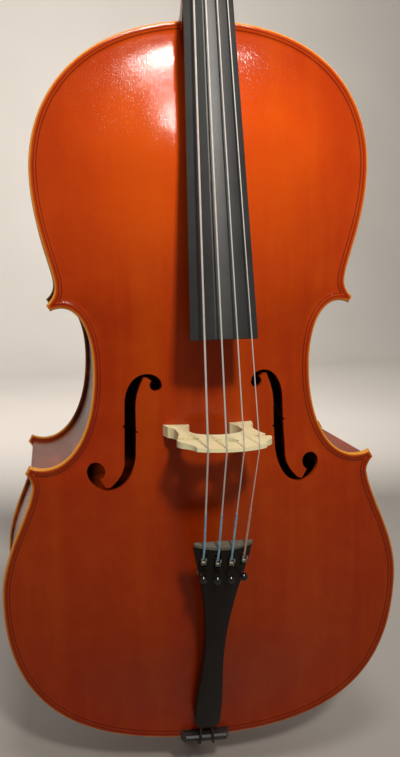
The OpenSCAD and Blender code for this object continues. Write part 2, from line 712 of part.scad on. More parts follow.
function row_face(k, j) =
  k == per_turn - 1 && j == 1
    ? [k * 7 + 1, k * 7 + 2, (k + 1) * 7 + 2, foot(1, 0), (k + 1) * 7 + 1]
  : k == per_turn - 1 && j == 4
    ? [k * 7 + 4, k * 7 + 5, (k + 1) * 7 + 5, foot(-1, 0), (k + 1) * 7 + 4]
  : [k * 7 + j, k * 7 + j + 1, (k + 1) * 7 + j + 1, (k + 1) * 7 + j];
volute_faces = concat(
  [for (k = [0:per_turn - 1], j = [0:5]) row_face(k, j)],
  side_faces(1), side_faces(-1),
  [concat([for (j = [6:-1:0]) j], [foot(1, 0)], [for (j = [2:4]) per_turn * 7 + j], [foot(-1, 0)])]);
module volute() {
  polyhedron(points = concat(row_pts, rims, feet, eyes),
             faces = [for (f = volute_faces) turned_over(f)], convexity = 8);
}

module neck() {
  color([0.66, 0.3, 0.1])
  union() {
    neck_loft();
    on_head() {
      pegbox();
      volute();
    }
  }
}

// --- fingerboard and nut ---
module fingerboard() {
  over = board_len - neck_len;
  color([0.16, 0.15, 0.14])
  on_neck() difference() {
    intersection() {
      translate([0, 40, 0]) rotate([90, 0, 0]) linear_extrude(60)
        polygon([[-board_end_w / 2, -over], [board_end_w / 2, -over],
                 [board_nut_w / 2, neck_len], [-board_nut_w / 2, neck_len]]);
      translate([0, board_r, -over - 5]) cylinder(r = board_r, h = board_len + 10, $fn = 96);
      across(board_end_w + 20)
        polygon([[-1, -over], [-1, neck_len], [board_t_nut, neck_len], [board_t_end, -over]]);
    }
    // Hollow under the free end
    translate([0, board_t_end + 24, -over - 5]) cylinder(r = 31, h = over - 25, $fn = 96);
    // Flat under the lowest string
    flat_cut();
  }
}
// The flat begins at a line that spreads with the board and falls away to the bass side
flat_fall = 24;
module flat_cut() {
  over = board_len - neck_len;
  x_end = -flat_at * board_end_w / 2;
  x_nut = -flat_at * board_nut_w / 2;
  turn = atan((x_nut - x_end) / board_len);
  translate([x_end, sag(board_r, x_end) - 0.1, -over - 5]) rotate([0, turn, 0])
    rotate([0, 0, 180 - flat_fall]) cube([40, 20, board_len + 20]);
}
module nut() {
  color([0.12, 0.11, 0.1])
  on_neck() intersection() {
    translate([-board_nut_w / 2, -4, neck_len + touch]) cube([board_nut_w, 4 + 6, nut_len - touch]);
    translate([0, board_r - nut_gap, neck_len]) cylinder(r = board_r, h = nut_len + 1, $fn = 96);
  }
}

// --- pegs ---
// Row of each string's peg, counted from the nut, and the side that its head is on
peg_row = [0, 2, 3, 1];
peg_side = [-1, -1, 1, 1];
function peg_up(i) = peg_first + peg_step * peg_row[i];
pegbox_slope = (pegbox_narrow - pegbox_wide) / (volute_up - 48);
function box_w(a) = pegbox_wide + pegbox_slope * max(0, a - 22);
function peg_reach(i) = box_w(peg_up(i)) / 2 + peg_stand;
function peg_length(i) = peg_reach(i) + box_w(peg_up(i)) / 2 + 1.5;
// Radius of the shank at a distance x from the middle of the pegbox, on the side of the head
function peg_radius(i, x) = (peg_d - peg_taper * (peg_reach(i) - x)) / 2;
module peg_shank(i, fit) {
  translate([peg_reach(i), 0, 0]) rotate([0, -90, 0])
    cylinder(r1 = peg_d / 2 + fit, r2 = peg_radius(i, peg_reach(i) - peg_length(i)) + fit,
             h = peg_length(i));
}
module peg_bore(i) {
  translate([0, peg_deep, peg_up(i)]) mirror([peg_side[i] < 0 ? 1 : 0, 0, 0]) peg_shank(i, peg_fit);
}
// The thumb piece: a waisted leaf, thinner towards its end, with a turned collar and button
thumb_half = concat(
  [[0, 5]], curve([[1, 5], [5, 5], [5, 14], [12, 17]], 6),
  curve([[12, 17], [20, 20], [29, 10], [30, 0]], 7));
module peg_head() {
  intersection() {
    rotate([90, 0, 0]) translate([0, 0, -10]) linear_extrude(20)
      polygon(concat(thumb_half, [[30, 0]], [for (i = [len(thumb_half) - 1:-1:0])
        [thumb_half[i][0], -thumb_half[i][1]]]));
    linear_extrude(60, center = true)
      polygon([[0, -6], [6, -5], [14, -3.6], [31, -3], [31, 3], [14, 3.6], [6, 5], [0, 6]]);
  }
  rotate([0, 90, 0]) rotate_extrude()
    polygon([[0, 0], [8, 0], [8.6, 1.2], [8, 2.6], [6.4, 3.4], [6.4, 5], [0, 8]]);
  translate([30.5, 0, 0]) sphere(d = 5);
}
module peg(i) {
  color([0.14, 0.1, 0.08])
  on_head() translate([0, peg_deep, peg_up(i)]) mirror([peg_side[i] < 0 ? 1 : 0, 0, 0]) union() {
    peg_shank(i, 0);
    translate([peg_reach(i), 0, 0]) peg_head();
  }
}

// Turns of string on the pegs, side by side against the cheek
turn_count = 3;
function cavity_w(a) = mix(pegbox_wide / 2 - cheek, pegbox_narrow / 2 - cheek + 1.5,
                           (a - 14) / (volute_up - 46));
function turn_gap(i) = string_d[i] + 0.05;
string_lead = 0.4;
function peg_x(i) =
  cavity_w(peg_up(i)) - 0.9 - string_lead - turn_count * turn_gap(i) - string_d[i] / 2;
module string_turns(i) {
  color([0.75, 0.75, 0.77])
  on_head() translate([0, peg_deep, peg_up(i)]) mirror([peg_side[i] < 0 ? 1 : 0, 0, 0])
    for (k = [1:turn_count]) let (x = peg_x(i) + string_lead + k * turn_gap(i))
      translate([x, 0, 0]) rotate([0, 90, 0]) rotate_extrude()
        translate([peg_radius(i, x) + string_d[i] / 2 + 0.03, 0]) circle(d = string_d[i], $fn = 16);
}

// --- bridge ---
bridge_h = -crest_y - crest_top;
function crest_q(x) = bridge_h - sag(crest_r, x + crest_shift);
lean = crest_lean / bridge_h;
function foot_q(x) = arch_at(top_rise, abs(x), bridge_z - lift) - top_rise + 0.3;
arch_q = 0.48 * bridge_h;
hip_q = 0.58 * bridge_h;
bw = bridge_w / 2;
crw = crest_w / 2;
function bridge_side(s) = concat(
  curve([[s * crw, crest_q(s * crw)], [s * (crw + 1), crest_q(s * crw) - 8],
         [s * (crw + 3), hip_q + 20], [s * (bw - 7), hip_q + 15]], 5),
  curve([[s * (bw - 7), hip_q + 15], [s * (bw - 4), hip_q + 12], [s * (bw - 1), hip_q + 8],
         [s * (bw - 1.5), hip_q + 2]], 4),
  [[s * (bw - 1.5), hip_q + 2], [s * (bw - 9), hip_q + 1.5], [s * (bw - 9), hip_q - 2.5],
   [s * (bw - 4), hip_q - 5]],
  curve([[s * (bw - 4.5), hip_q - 6], [s * (bw - 7), hip_q - 12], [s * (bw - 9), 0.34 * bridge_h],
         [s * (bw - 8), 18]], 4),
  curve([[s * (bw - 8), 18], [s * (bw - 7.5), 12], [s * (bw - 3), 8], [s * bw, 5]], 4),
  [for (k = [0:5]) let (x = bw - 5 * k) [s * x, foot_q(x)]],
  curve([[s * (bw - 25), 4], [s * (bw - 21), 8], [s * (bw - 19), 16], [s * (bw - 20), 28]], 5),
  curve([[s * (bw - 20), 28], [s * (bw - 21), arch_q - 5], [s * 13, arch_q], [0, arch_q]], 6));
treble_side = bridge_side(1);
bass_side = bridge_side(-1);
bridge_face = concat(
  [for (k = [-7:7]) let (x = crw * k / 8) [x, crest_q(x)]], treble_side, [[0, arch_q]],
  [for (k = [len(bass_side) - 1:-1:0]) bass_side[k]]);
heart_half = concat(
  curve([[0, -8], [3, -5], [10.5, -1], [10.5, 4]], 6),
  curve([[10.5, 4], [10.5, 10], [2, 11.5], [0, 5.5]], 7), [[0, 5.5]]);
module bridge() {
  color([0.93, 0.84, 0.6])
  difference() {
    translate([0, -crest_top, bridge_z])
    multmatrix([[1, 0, 0, 0], [0, 1, 0, 0], [0, -lean, 1, 0], [0, 0, 0, 1]]) intersection() {
      translate([0, 0, -10]) linear_extrude(20) difference() {
        polygon([for (p = bridge_face) [p[0], -p[1]]]);
        for (s = [-1, 1]) translate([s * (bw - 17), -hip_q - 1]) circle(r = 5.4);
        translate([0, -hip_q - 9]) rotate(180)
          polygon(concat(heart_half, [for (i = [len(heart_half) - 1:-1:1])
            [-heart_half[i][0], heart_half[i][1]]]));
      }
      across(bridge_w + 10) polygon([
        [12, -bridge_foot_t / 2], [-6, -bridge_foot_t / 2], [-bridge_h - 5, -bridge_crest_t / 2],
        [-bridge_h - 5, bridge_crest_t / 2], [-6, bridge_foot_t / 2], [12, bridge_foot_t / 2]]);
    }
    for (i = [0:3]) string_groove(i);
  }
}
// A groove of the crest, wide enough for the string's slopes on both sides
module string_groove(i) {
  translate(bridge_at(i) - [0, 0, 10]) cylinder(d = string_d[i] + 0.6, h = 20);
}

// --- strings ---
function spread(w, i) = w * (i / 3 - 0.5);
function rad(i) = string_d[i] / 2;
function lift3(x, p) = [x, p[0], p[1]];
function head_pt(a, b) = neck_pt(neck_len + a * cos(head_pitch) - b * sin(head_pitch),
                                 a * sin(head_pitch) + b * cos(head_pitch));
function tail_pt(y, z) = [tail_y + y * cos(tail_pitch) - z * sin(tail_pitch),
                          tail_z + y * sin(tail_pitch) + z * cos(tail_pitch)];
function nut_w(i) = sag(board_r, spread(nut_spread, i)) - nut_gap - rad(i) - touch;
function nut_front(i) = lift3(spread(nut_spread, i), neck_pt(neck_len, nut_w(i)));
function nut_back(i) =
  lift3(spread(nut_spread, i), neck_pt(neck_len + nut_len + 0.4 * string_d[i], nut_w(i)));
function bridge_at(i) =
  let (x = spread(bridge_spread, i), y = crest_y + sag(crest_r, x + crest_shift) - rad(i) * 0.3)
  [x, y, bridge_z - lean * (y + crest_top)];
function fret_y(i) = sag(tail_r, spread(tail_spread, i)) - fret_rise - silk_d / 2 - touch;
function fret_at(i, z) = lift3(spread(tail_spread, i), tail_pt(fret_y(i), z));
function silk_start(i) = let (a = fret_at(i, 0), b = bridge_at(i)) a + silk_len * unit(b - a);
// Where a string meets its peg: the tangent from the nut to the front of the shank
function peg_meet(i) =
  let (far_pt = [neck_len + nut_len, nut_w(i)],
       n = [nut_len * cos(head_pitch) + nut_w(i) * sin(head_pitch),
            nut_w(i) * cos(head_pitch) - nut_len * sin(head_pitch)],
       o = [peg_up(i), peg_deep],
       r = peg_radius(i, peg_x(i)) + rad(i) + 0.3,
       v = n - o,
       f = atan2(v[1], v[0]) + acos(r / norm(v)),
       t = o + r * [cos(f), sin(f)])
  lift3(peg_side[i] * peg_x(i), head_pt(t[0], t[1]));
function string_path(i) =
  let (p = bridge_at(i), u = unit(nut_front(i) - p), w = unit(silk_start(i) - p))
  [peg_meet(i), nut_back(i), nut_front(i), p + 1.2 * u, p + 1.2 * w, silk_start(i)];
silk_end = axle_at - 0.5;
function silk_path(i) = [silk_start(i), fret_at(i, 0), fret_at(i, -fret_t),
  lift3(spread(tail_spread, i), tail_pt(sag(tail_r, spread(tail_spread, i)) - 1.25, -silk_end))];

// A round tube along a path: each ring lies square to the mean of its two stretches
function tangent(p, i) =
  i == 0 ? unit(p[1] - p[0])
  : i == len(p) - 1 ? unit(p[i] - p[i - 1])
  : unit(unit(p[i + 1] - p[i]) + unit(p[i] - p[i - 1]));
function square_to(v, t) = unit(v - (v * t) * t);
function ring_frames(p, i, u) =
  let (t = tangent(p, i), a = square_to(u, t))
  i == len(p) - 1 ? [[a, cross(t, a)]] : concat([[a, cross(t, a)]], ring_frames(p, i + 1, a));
module tube(p, r, sides, start = [1, 0, 0]) {
  f = ring_frames(p, 0, start);
  polyhedron(
    points = [for (i = [0:len(p) - 1], j = [0:sides - 1])
      p[i] + r * (cos(360 * j / sides) * f[i][0] + sin(360 * j / sides) * f[i][1])],
    faces = concat(
      [[for (j = [0:sides - 1]) j]],
      [for (i = [0:len(p) - 2], j = [0:sides - 1]) let (m = (j + 1) % sides)
        [i * sides + m, i * sides + j, (i + 1) * sides + j, (i + 1) * sides + m]],
      [[for (j = [sides - 1:-1:0]) (len(p) - 1) * sides + j]]),
    convexity = 4);
}
module string(i) {
  color([0.78, 0.78, 0.8]) tube(string_path(i), rad(i), 8);
}
module string_silks() {
  color([0.5, 0.7, 0.82]) for (i = [0:3]) tube(silk_path(i), silk_d / 2, 8);
}

// --- tailpiece, tail cord and saddle ---
tail_half = concat(
  [[0, 0], [tail_w / 2, 0]],
  curve([[tail_w / 2, -1], [tail_w / 2, -14], [tail_w / 2 - 5, -25],
         [tail_w / 2 - 6, -screw_at - 1]], 5),
  curve([[tail_w / 2 - 6, -screw_at - 1], [tail_w / 2 - 12, -55], [tail_waist_w / 2, -95],
         [tail_waist_w / 2, -0.54 * tail_len]], 8),
  curve([[tail_waist_w / 2, -0.54 * tail_len], [tail_waist_w / 2, -0.67 * tail_len],
         [tail_end_w / 2, -0.8 * tail_len], [tail_end_w / 2, -0.9 * tail_len]], 6),
  curve([[tail_end_w / 2, 10 - tail_len], [tail_end_w / 2, 4 - tail_len],
         [tail_end_w / 2 - 2, 0.5 - tail_len], [tail_end_w / 2 - 7, -tail_len]], 5),
  [[tail_end_w / 2 - 7, -tail_len]]);
module tail_blank() {
  intersection() {
    rotate([90, 0, 0]) translate([0, 0, -30]) linear_extrude(60)
      polygon(concat(tail_half, [[0, -tail_len]], flip(tail_half)));
    translate([0, tail_r, -tail_len - 5]) cylinder(r = tail_r, h = tail_len + 10, $fn = 96);
    across(tail_w + 10) polygon([[-5, 0], [tail_tip, 0], [tail_tip + 0.5, -fret_t - 1],
                                 [tail_deep - 1, -10], [tail_deep, -12], [tail_deep, -60],
                                 [tail_thin, -0.6 * tail_len], [tail_thin, -tail_len],
                                 [-5, -tail_len]]);
  }
}
roof = 3.5;
axle_y = 8;
function string_sag(i) = sag(tail_r, spread(tail_spread, i));
module tailpiece() {
  color([0.09, 0.075, 0.06])
  on_tail() difference() {
    tail_blank();
    translate([-tail_w / 2 - 1, -3, -fret_t]) cube([tail_w + 2, tail_deep + 6, fret_t + 1]);
    for (i = [0:3]) translate([spread(tail_spread, i), 0, 0]) {
      w = lever_w + 2 * lever_gap;
      translate([-w / 2, -3, -24]) cube([w, tail_deep + 6, 15]);
      translate([-w / 2, string_sag(i) + roof, -44]) cube([w, tail_deep, 35]);
      translate([0, -3, -screw_at]) rotate([-90, 0, 0])
        cylinder(d = screw_d + 2 * tuner_fit, h = 18);
    }
    translate([-tail_spread / 2 - 7, axle_y, -axle_at]) rotate([0, 90, 0])
      cylinder(d = axle_d + 0.02, h = tail_spread + 14);
    for (s = [-1, 1]) translate([s * gut_gap / 2, tail_thin / 2 + 1, -tail_len - 1])
      cylinder(d = gut_d + 2 * touch, h = 16, $fn = 24);
  }
}
module tailpiece_fret() {
  color([0.46, 0.45, 0.38])
  on_tail() intersection() {
    translate([0, 0, -fret_t + touch]) linear_extrude(fret_t - touch)
      difference() {
        translate([0, tail_r]) circle(r = tail_r + fret_rise, $fn = 96);
        translate([-60, tail_tip]) square([120, 120]);
      }
    translate([-tail_w / 2, -5, -fret_t]) cube([tail_w, tail_deep + 5, fret_t + 1]);
  }
}

// --- fine tuners ---
// Levers rock on one axle; a screw through the tailpiece's roof presses each lever's long arm
module tuner_axle() {
  color([0.7, 0.7, 0.7])
  on_tail() translate([-tail_spread / 2 - 6.5, axle_y, -axle_at]) rotate([0, 90, 0])
    cylinder(d = axle_d, h = tail_spread + 13);
}
arm_reach = 5;
arm_swing = (screw_at - axle_at + arm_reach) / (screw_at - axle_at);
arm_top = roof + screw_travel * arm_swing + 0.4;
module tuner_lever(i) {
  deep = string_sag(i);
  color([0.3, 0.3, 0.31])
  on_tail() translate([spread(tail_spread, i), 0, 0]) difference() {
    union() {
      across(lever_w) polygon([
        [axle_y + 1, -axle_at + 2.4], [deep + 1, -axle_at + 2.2], [deep - 3.6, -axle_at + 3.2],
        [deep - 4.4, -axle_at + 2], [deep - 4, -axle_at - 0.4], [deep + 1, -axle_at - 1.6],
        [deep + arm_top - 2.6, -axle_at - 3], [deep + arm_top, -screw_at + 6],
        [deep + arm_top, -screw_at - arm_reach],
        [deep + arm_top + 2.8, -screw_at - arm_reach],
        [max(deep + arm_top + 3, axle_y + 2.6), -axle_at - 2]]);
      translate([-lever_w / 2, axle_y, -axle_at]) rotate([0, 90, 0]) cylinder(r = 3.2, h = lever_w);
    }
    translate([-lever_w, axle_y, -axle_at]) rotate([0, 90, 0])
      cylinder(d = axle_d + 2 * tuner_fit, h = 2 * lever_w);
    translate([-fork_w / 2, deep - 8, -axle_at - 8]) cube([fork_w, 8.4, 16]);
  }
}
ball_d = 4.6;
module string_ball(i) {
  color([0.75, 0.6, 0.25])
  on_tail() translate([spread(tail_spread, i) - lever_w / 2 + 0.2, string_sag(i) - 1.4,
                       -axle_at - 1.4 - ball_d / 2]) rotate([0, 90, 0])
    cylinder(d = ball_d, h = lever_w - 0.4);
}
// A knob stands clear of the highest point under its rim when it is screwed right in
function knob_rise(i) = screw_travel + 0.5 + string_sag(i)
  - sag(tail_r, max(0, abs(spread(tail_spread, i)) - knob_d / 2));
tip_h = 0.8;
module tuner_screw(i) {
  color([0.72, 0.72, 0.72])
  on_tail() translate([spread(tail_spread, i), string_sag(i) + arm_top - 0.3, -screw_at])
    rotate([90, 0, 0]) union() {
      cylinder(d1 = screw_d - 2 * tip_h, d2 = screw_d, h = tip_h);
      translate([0, 0, tip_h])
        cylinder(d = screw_d, h = arm_top - 0.3 - tip_h + knob_rise(i) + 3.5);
    }
}
module tuner_knob(i) {
  color([0.1, 0.09, 0.08])
  on_tail() translate([spread(tail_spread, i), string_sag(i) - knob_rise(i), -screw_at])
    rotate([90, 0, 0]) difference() {
      rotate_extrude() polygon([[0, 0], [knob_d / 2 - 0.8, 0], [knob_d / 2, 0.8],
        [knob_d / 2, knob_h - 2], [knob_d / 2 - 0.9, knob_h - 0.7], [1.4, knob_h], [0, knob_h]]);
      for (k = [0:15]) rotate(k * 22.5) translate([knob_d / 2 + 0.2, 0, 0.9])
        cylinder(d = 0.9, h = knob_h - 3, $fn = 13);
      translate([0, 0, -1]) cylinder(d = screw_d + 2 * tuner_fit, h = 4.6);
    }
}

// --- saddle and tail cord ---
module saddle() {
  y0 = -half_rib;
  color([0.09, 0.08, 0.07])
  intersection() {
    across(saddle_w) polygon([
      [y0 - touch, lift - 0.6], [y0 - touch, lift + saddle_h - touch],
      [y0 - edge_t - 3, lift + saddle_h - touch], [saddle_y + 2.2, lift + saddle_h - 1.4],
      [saddle_y + 0.3, lift + 6], [saddle_y, lift + 4.2], [saddle_y + 0.6, lift + 1.8],
      [saddle_y + 2.6, lift - 0.6]]);
    linear_extrude(lift * 3) polygon([
      [-saddle_w / 2 + touch, y0], [-saddle_w / 2 + touch, y0 - edge_t - 0.5],
      [-saddle_w / 2 + 6, saddle_y - 1], [saddle_w / 2 - 6, saddle_y - 1],
      [saddle_w / 2 - touch, y0 - edge_t - 0.5], [saddle_w / 2 - touch, y0]]);
  }
}
groove_d = plug_d - 3;
gut_ring = groove_d / 2 + gut_d / 2 + 0.1;
groove_z = lift + overhang - gut_d / 2 - 0.6;
gut_r = gut_d / 2;
function gut_leg(s) = [
  lift3(s * gut_gap / 2, tail_pt(tail_thin / 2 + 1, -tail_len + 13)),
  lift3(s * gut_gap / 2, tail_pt(tail_thin / 2 + 1, -tail_len - 0.5)),
  [s * (gut_gap / 2 + 1), saddle_y - gut_r - touch, lift + 4.6],
  [s * (gut_gap / 2 + 1.4), saddle_y - gut_r + 0.8, lift + 0.6],
  [s * (gut_gap / 2 + 1.8), saddle_y + 3, lift - 0.6 - gut_r - 0.3],
  [s * (gut_ring - 2), -30, mix(lift - 2.2, groove_z, 0.55)],
  [s * gut_ring, -3, groove_z]];
tail_cord_path = let (leg = gut_leg(1), other = gut_leg(-1)) concat(
  leg, [for (f = [10:20:170]) [gut_ring * cos(f), gut_ring * sin(f), groove_z]],
  [for (i = [len(other) - 1:-1:0]) other[i]]);
module tail_cord() {
  color([0.12, 0.12, 0.12]) tube(tail_cord_path, gut_r, 8);
}

// --- endpin ---
collar_top = lift + rib_in + end_block_h;
collar_low = lift - collar_h;
clamp_z = collar_low + 9;
module endpin_collar() {
  flange_z = groove_z - gut_r - 0.6;
  bore = rod_d / 2 + rod_fit;
  color([0.1, 0.09, 0.08])
  difference() {
    rotate_extrude() polygon([
      [bore, collar_low], [rod_d / 2 + 5, collar_low], [rod_d / 2 + 6.5, collar_low + 2],
      [rod_d / 2 + 6.5, collar_low + 16], [flange_d / 2 - 2, flange_z - 8],
      [flange_d / 2, flange_z - 6], [flange_d / 2, flange_z - 2], [flange_d / 2 - 2, flange_z],
      [groove_d / 2, flange_z], [groove_d / 2, lift + overhang], [plug_d / 2 - touch, lift + overhang],
      [plug_d / 2 - touch, collar_top], [bore, collar_top]]);
    translate([0, 0, clamp_z]) rotate([0, -90, 0]) cylinder(d = clamp_d + 2 * tuner_fit, h = 40);
  }
}
rod_z = 10;
module endpin_rod() {
  color([0.55, 0.55, 0.57])
  translate([0, 0, rod_z]) union() {
    cylinder(d = rod_d, h = rod_len - 2);
    translate([0, 0, rod_len - 2]) cylinder(d1 = rod_d, d2 = rod_d - 3, h = 2);
  }
}
module rubber_foot() {
  color([0.13, 0.13, 0.13])
  difference() {
    rotate_extrude() polygon([
      [0, 0], [foot_d / 2 - 2, 0], [foot_d / 2, 2], [foot_d / 2, 15],
      [foot_d / 2 - 1.6, foot_h - 1], [foot_d / 2 - 2.6, foot_h], [0, foot_h]]);
    translate([0, 0, rod_z - touch]) cylinder(d = rod_d + 0.02, h = foot_h);
  }
}
clamp_out = rod_d / 2 + 6.5 + 2.5;
module clamp_screw() {
  color([0.6, 0.6, 0.62])
  translate([-rod_d / 2 - 0.3, 0, clamp_z]) rotate([0, -90, 0])
    cylinder(d = clamp_d, h = clamp_out - rod_d / 2 - 0.3 + 6);
}
module clamp_knob() {
  color([0.12, 0.12, 0.12])
  translate([-clamp_out, 0, clamp_z]) rotate([0, -90, 0]) difference() {
    rotate_extrude() polygon([[0, 0], [clamp_d / 2 + 1.5, 0], [clamp_d / 2 + 1.5, 1.5],
      [clamp_knob_d / 2 - 1, 1.5], [clamp_knob_d / 2, 2.5], [clamp_knob_d / 2, 9.5],
      [clamp_knob_d / 2 - 1.5, 11], [0, 11]]);
    for (k = [0:5]) rotate(60 * k) translate([clamp_knob_d / 2 + 1.2, 0, 2])
      cylinder(d = 5, h = 12);
    translate([0, 0, -1]) cylinder(d = clamp_d + 2 * tuner_fit, h = 7.1);
  }
}

top_plate();
back_plate();
rib_lower(-1);  // rib_lower_bass
rib_lower(1);  // rib_lower_treble
rib_waist(-1);  // rib_waist_bass
rib_waist(1);  // rib_waist_treble
rib_upper(-1);  // rib_upper_bass
rib_upper(1);  // rib_upper_treble
top_linings();
back_linings();
neck_block();
end_block();
corner_blocks();
bass_bar();
soundpost();
neck();
fingerboard();
nut();
bridge();
saddle();
tailpiece();
tailpiece_fret();
tail_cord();
tuner_axle();
string_silks();
endpin_collar();
endpin_rod();
rubber_foot();
clamp_screw();
clamp_knob();
for (i = [0:3]) {
  peg(i);
  string_turns(i);
  string(i);
  tuner_lever(i);
  string_ball(i);
  tuner_screw(i);
  tuner_knob(i);
}
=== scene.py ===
# %% [markdown]
# # A full-size cello
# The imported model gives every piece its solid, its place and its motion, and this script dresses
# it. The arched plates and the ribs are drawn again from formulas, because varnish is a mirror that
# shows each facet of a coarse solid. All other pieces keep their solids and get a finish worked out
# from noise and waves, which needs no image files and stays sharp from close by. Lengths are in
# millimetres: x from the centre line, y towards the back, and h up from the body's bottom edge.

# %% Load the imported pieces
import json
import math
import bpy
import numpy as np
from mathutils import Matrix, Vector
from mathutils.geometry import delaunay_2d_cdt


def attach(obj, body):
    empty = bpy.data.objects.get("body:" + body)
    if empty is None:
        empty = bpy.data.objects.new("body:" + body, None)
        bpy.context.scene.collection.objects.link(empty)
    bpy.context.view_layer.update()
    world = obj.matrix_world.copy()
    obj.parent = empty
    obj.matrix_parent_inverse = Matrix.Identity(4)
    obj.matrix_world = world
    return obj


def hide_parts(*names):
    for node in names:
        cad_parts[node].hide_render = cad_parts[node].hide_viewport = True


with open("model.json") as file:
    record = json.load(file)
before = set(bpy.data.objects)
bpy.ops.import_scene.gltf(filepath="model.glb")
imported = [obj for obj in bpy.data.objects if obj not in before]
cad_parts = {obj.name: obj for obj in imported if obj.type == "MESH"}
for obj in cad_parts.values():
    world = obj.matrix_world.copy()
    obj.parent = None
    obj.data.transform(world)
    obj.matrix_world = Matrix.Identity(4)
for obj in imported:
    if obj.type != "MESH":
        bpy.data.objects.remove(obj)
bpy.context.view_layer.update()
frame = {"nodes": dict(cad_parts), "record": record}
nodes = frame["nodes"]

# %% [markdown]
# ## Camera
# Someone who looks a cello over stands close to it, so the body looms and the neck runs away
# upwards. A long lens from far off would be simpler to aim, but it would flatten that. So this is a
# wide lens near the instrument, a little to the bass side and turned slightly down. The lens is
# shifted to bring the body into the middle, because a shift, unlike a turn, keeps upright lines
# upright. The frame is tall, so the sensor's width lies along its height.

# %% Place the camera
EYE = (-0.15724, -0.66624, 0.57653)  # metres
HEADING, TILT, ROLL = -4.701, -6.814, 1.442  # degrees
SENSOR = 36
FRAME_H = 757  # height of the frame, in the units of the next line
REACH, SHIFT_X, SHIFT_Y = 601.45, 101.5, -38.19  # distance of the lens, and its shifts


def turn(axis, degrees):
    """Rotation matrix about one axis."""
    return np.array(Matrix.Rotation(math.radians(degrees), 3, axis))


camera = bpy.data.objects.new("camera", bpy.data.cameras.new("camera"))
bpy.context.scene.collection.objects.link(camera)
bpy.context.scene.camera = camera
right, ahead, up = (turn("Z", HEADING) @ turn("X", TILT) @ turn("Y", ROLL)).T
axes = Matrix(np.column_stack([right, up, -ahead]).tolist())
camera.matrix_world = Matrix.Translation(EYE) @ axes.to_4x4()
camera.data.sensor_width = SENSOR
camera.data.lens = REACH / FRAME_H * SENSOR
camera.data.shift_x = SHIFT_X / FRAME_H
camera.data.shift_y = SHIFT_Y / FRAME_H
camera.data.clip_start = 0.02
print("lens of", round(camera.data.lens, 1), "mm at a height of", EYE[2], "m")

# %% [markdown]
# ## Outline
# A maker bends the ribs round a mould and cuts both plates to a line that stands a few millimetres
# outside them: three bouts on each side, joined at blunt corners. That line could be traced as a
# long list of points, but nobody could change it then. A few curves between the places that a maker
# measures keep it smooth, and one side mirrored gives the other.

# %% Sizes of the body
BODY = 757.5  # length of the body
LOWER, WAIST, UPPER = 216.0, 114.0, 172.0  # half widths across the bouts
LOWER_H, WAIST_H, UPPER_H = 176.5, 417.5, 617.0  # heights of those widths
LOW_CORNER, UP_CORNER = (187.0, 316.0), (159.5, 482.5)  # x and h of a corner's blunt end
CORNER_END = 4.25  # half the height of that end
print("body", BODY, "mm long, bouts", 2 * LOWER, 2 * WAIST, 2 * UPPER, "mm wide")

# %% Draw the outline
def bezier(p, steps):
    """Cubic curve through p0 and p3, with p1 and p2 pulling it; the last point is left out.

    Each point is the sum of the four, weighted by (1-t)^3, 3t(1-t)^2, 3t^2(1-t) and t^3.
    """
    t = np.linspace(0, 1, steps, endpoint=False)[:, None]
    p = np.asarray(p, float)
    return (1 - t) ** 3 * p[0] + 3 * t * (1 - t) ** 2 * p[1] + 3 * t * t * (1 - t) * p[2] + t**3 * p[3]


def straight(a, b, steps):
    """Points from a towards b, without b: (1-t) of a and t of b."""
    t = np.linspace(0, 1, steps, endpoint=False)[:, None]
    return np.asarray(a, float) * (1 - t) + np.asarray(b, float) * t


def half_outline(fine):
    """One side of the body from the bottom to the top of the centre line.

    Curves run from the bottom over the widest places and the corners. fine is how many points stand
    for each point of the coarse outline.
    """
    (lx, lh), (ux, uh), e = LOW_CORNER, UP_CORNER, CORNER_END
    low_start, low_tip, low_end = (lx - 6.5, lh - 19), (lx, lh - e), (lx - 4.5, lh + e)
    up_start, up_tip, up_end = (ux - 4, uh - e + 1), (ux, uh + e - 1), (ux - 9, uh + e + 16)
    waist_low = (WAIST, WAIST_H - 0.76 * (WAIST_H - lh))
    waist_up = (WAIST, WAIST_H + 0.75 * (uh - WAIST_H))
    return np.vstack([
        bezier([(0, 0), (0.71 * LOWER, 0), (LOWER, 0.35 * LOWER_H), (LOWER, LOWER_H)], 12 * fine),
        bezier([(LOWER, LOWER_H), (LOWER, LOWER_H + 48), (lx - 2, lh - 50), low_start], 9 * fine),
        bezier([low_start, (lx - 6.5, lh - 13), (lx - 3.5, lh - e - 4), low_tip], 3 * fine),
        straight(low_tip, low_end, fine),
        bezier([low_end, (lx - 37, lh - 12), waist_low, (WAIST, WAIST_H)], 10 * fine),
        bezier([(WAIST, WAIST_H), waist_up, (ux - 26.5, uh + 7.5), up_start], 8 * fine),
        straight(up_start, up_tip, fine),
        bezier([up_tip, (ux - 4, uh + e + 2), (ux - 9, uh + e + 8), up_end], 3 * fine),
        bezier([up_end, (ux - 9, uh + e + 34), (UPPER, UPPER_H - 53), (UPPER, UPPER_H)], 8 * fine),
        bezier([(UPPER, UPPER_H), (UPPER, UPPER_H + 67), (0.74 * UPPER, BODY), (0, BODY)], 12 * fine),
    ])


def whole(half):
    """The half outline and its mirror image as one closed loop, anticlockwise."""
    return np.vstack([half, [[0, BODY]], half[:0:-1] * (-1, 1)])


FINE = 6
OUTLINE = whole(half_outline(FINE))
print("outline of", len(OUTLINE), "points")

# %% [markdown]
# ## Distance to the edge
# The rounding of a plate's edge, its flat rim, the inlaid lines and the wear of the varnish all
# follow how far a point lies from the edge. Blender can measure that with a proximity node, but only
# inside a modifier. Here it is worked out as an array, so that the same numbers shape the plate and,
# stored on its points, colour it.

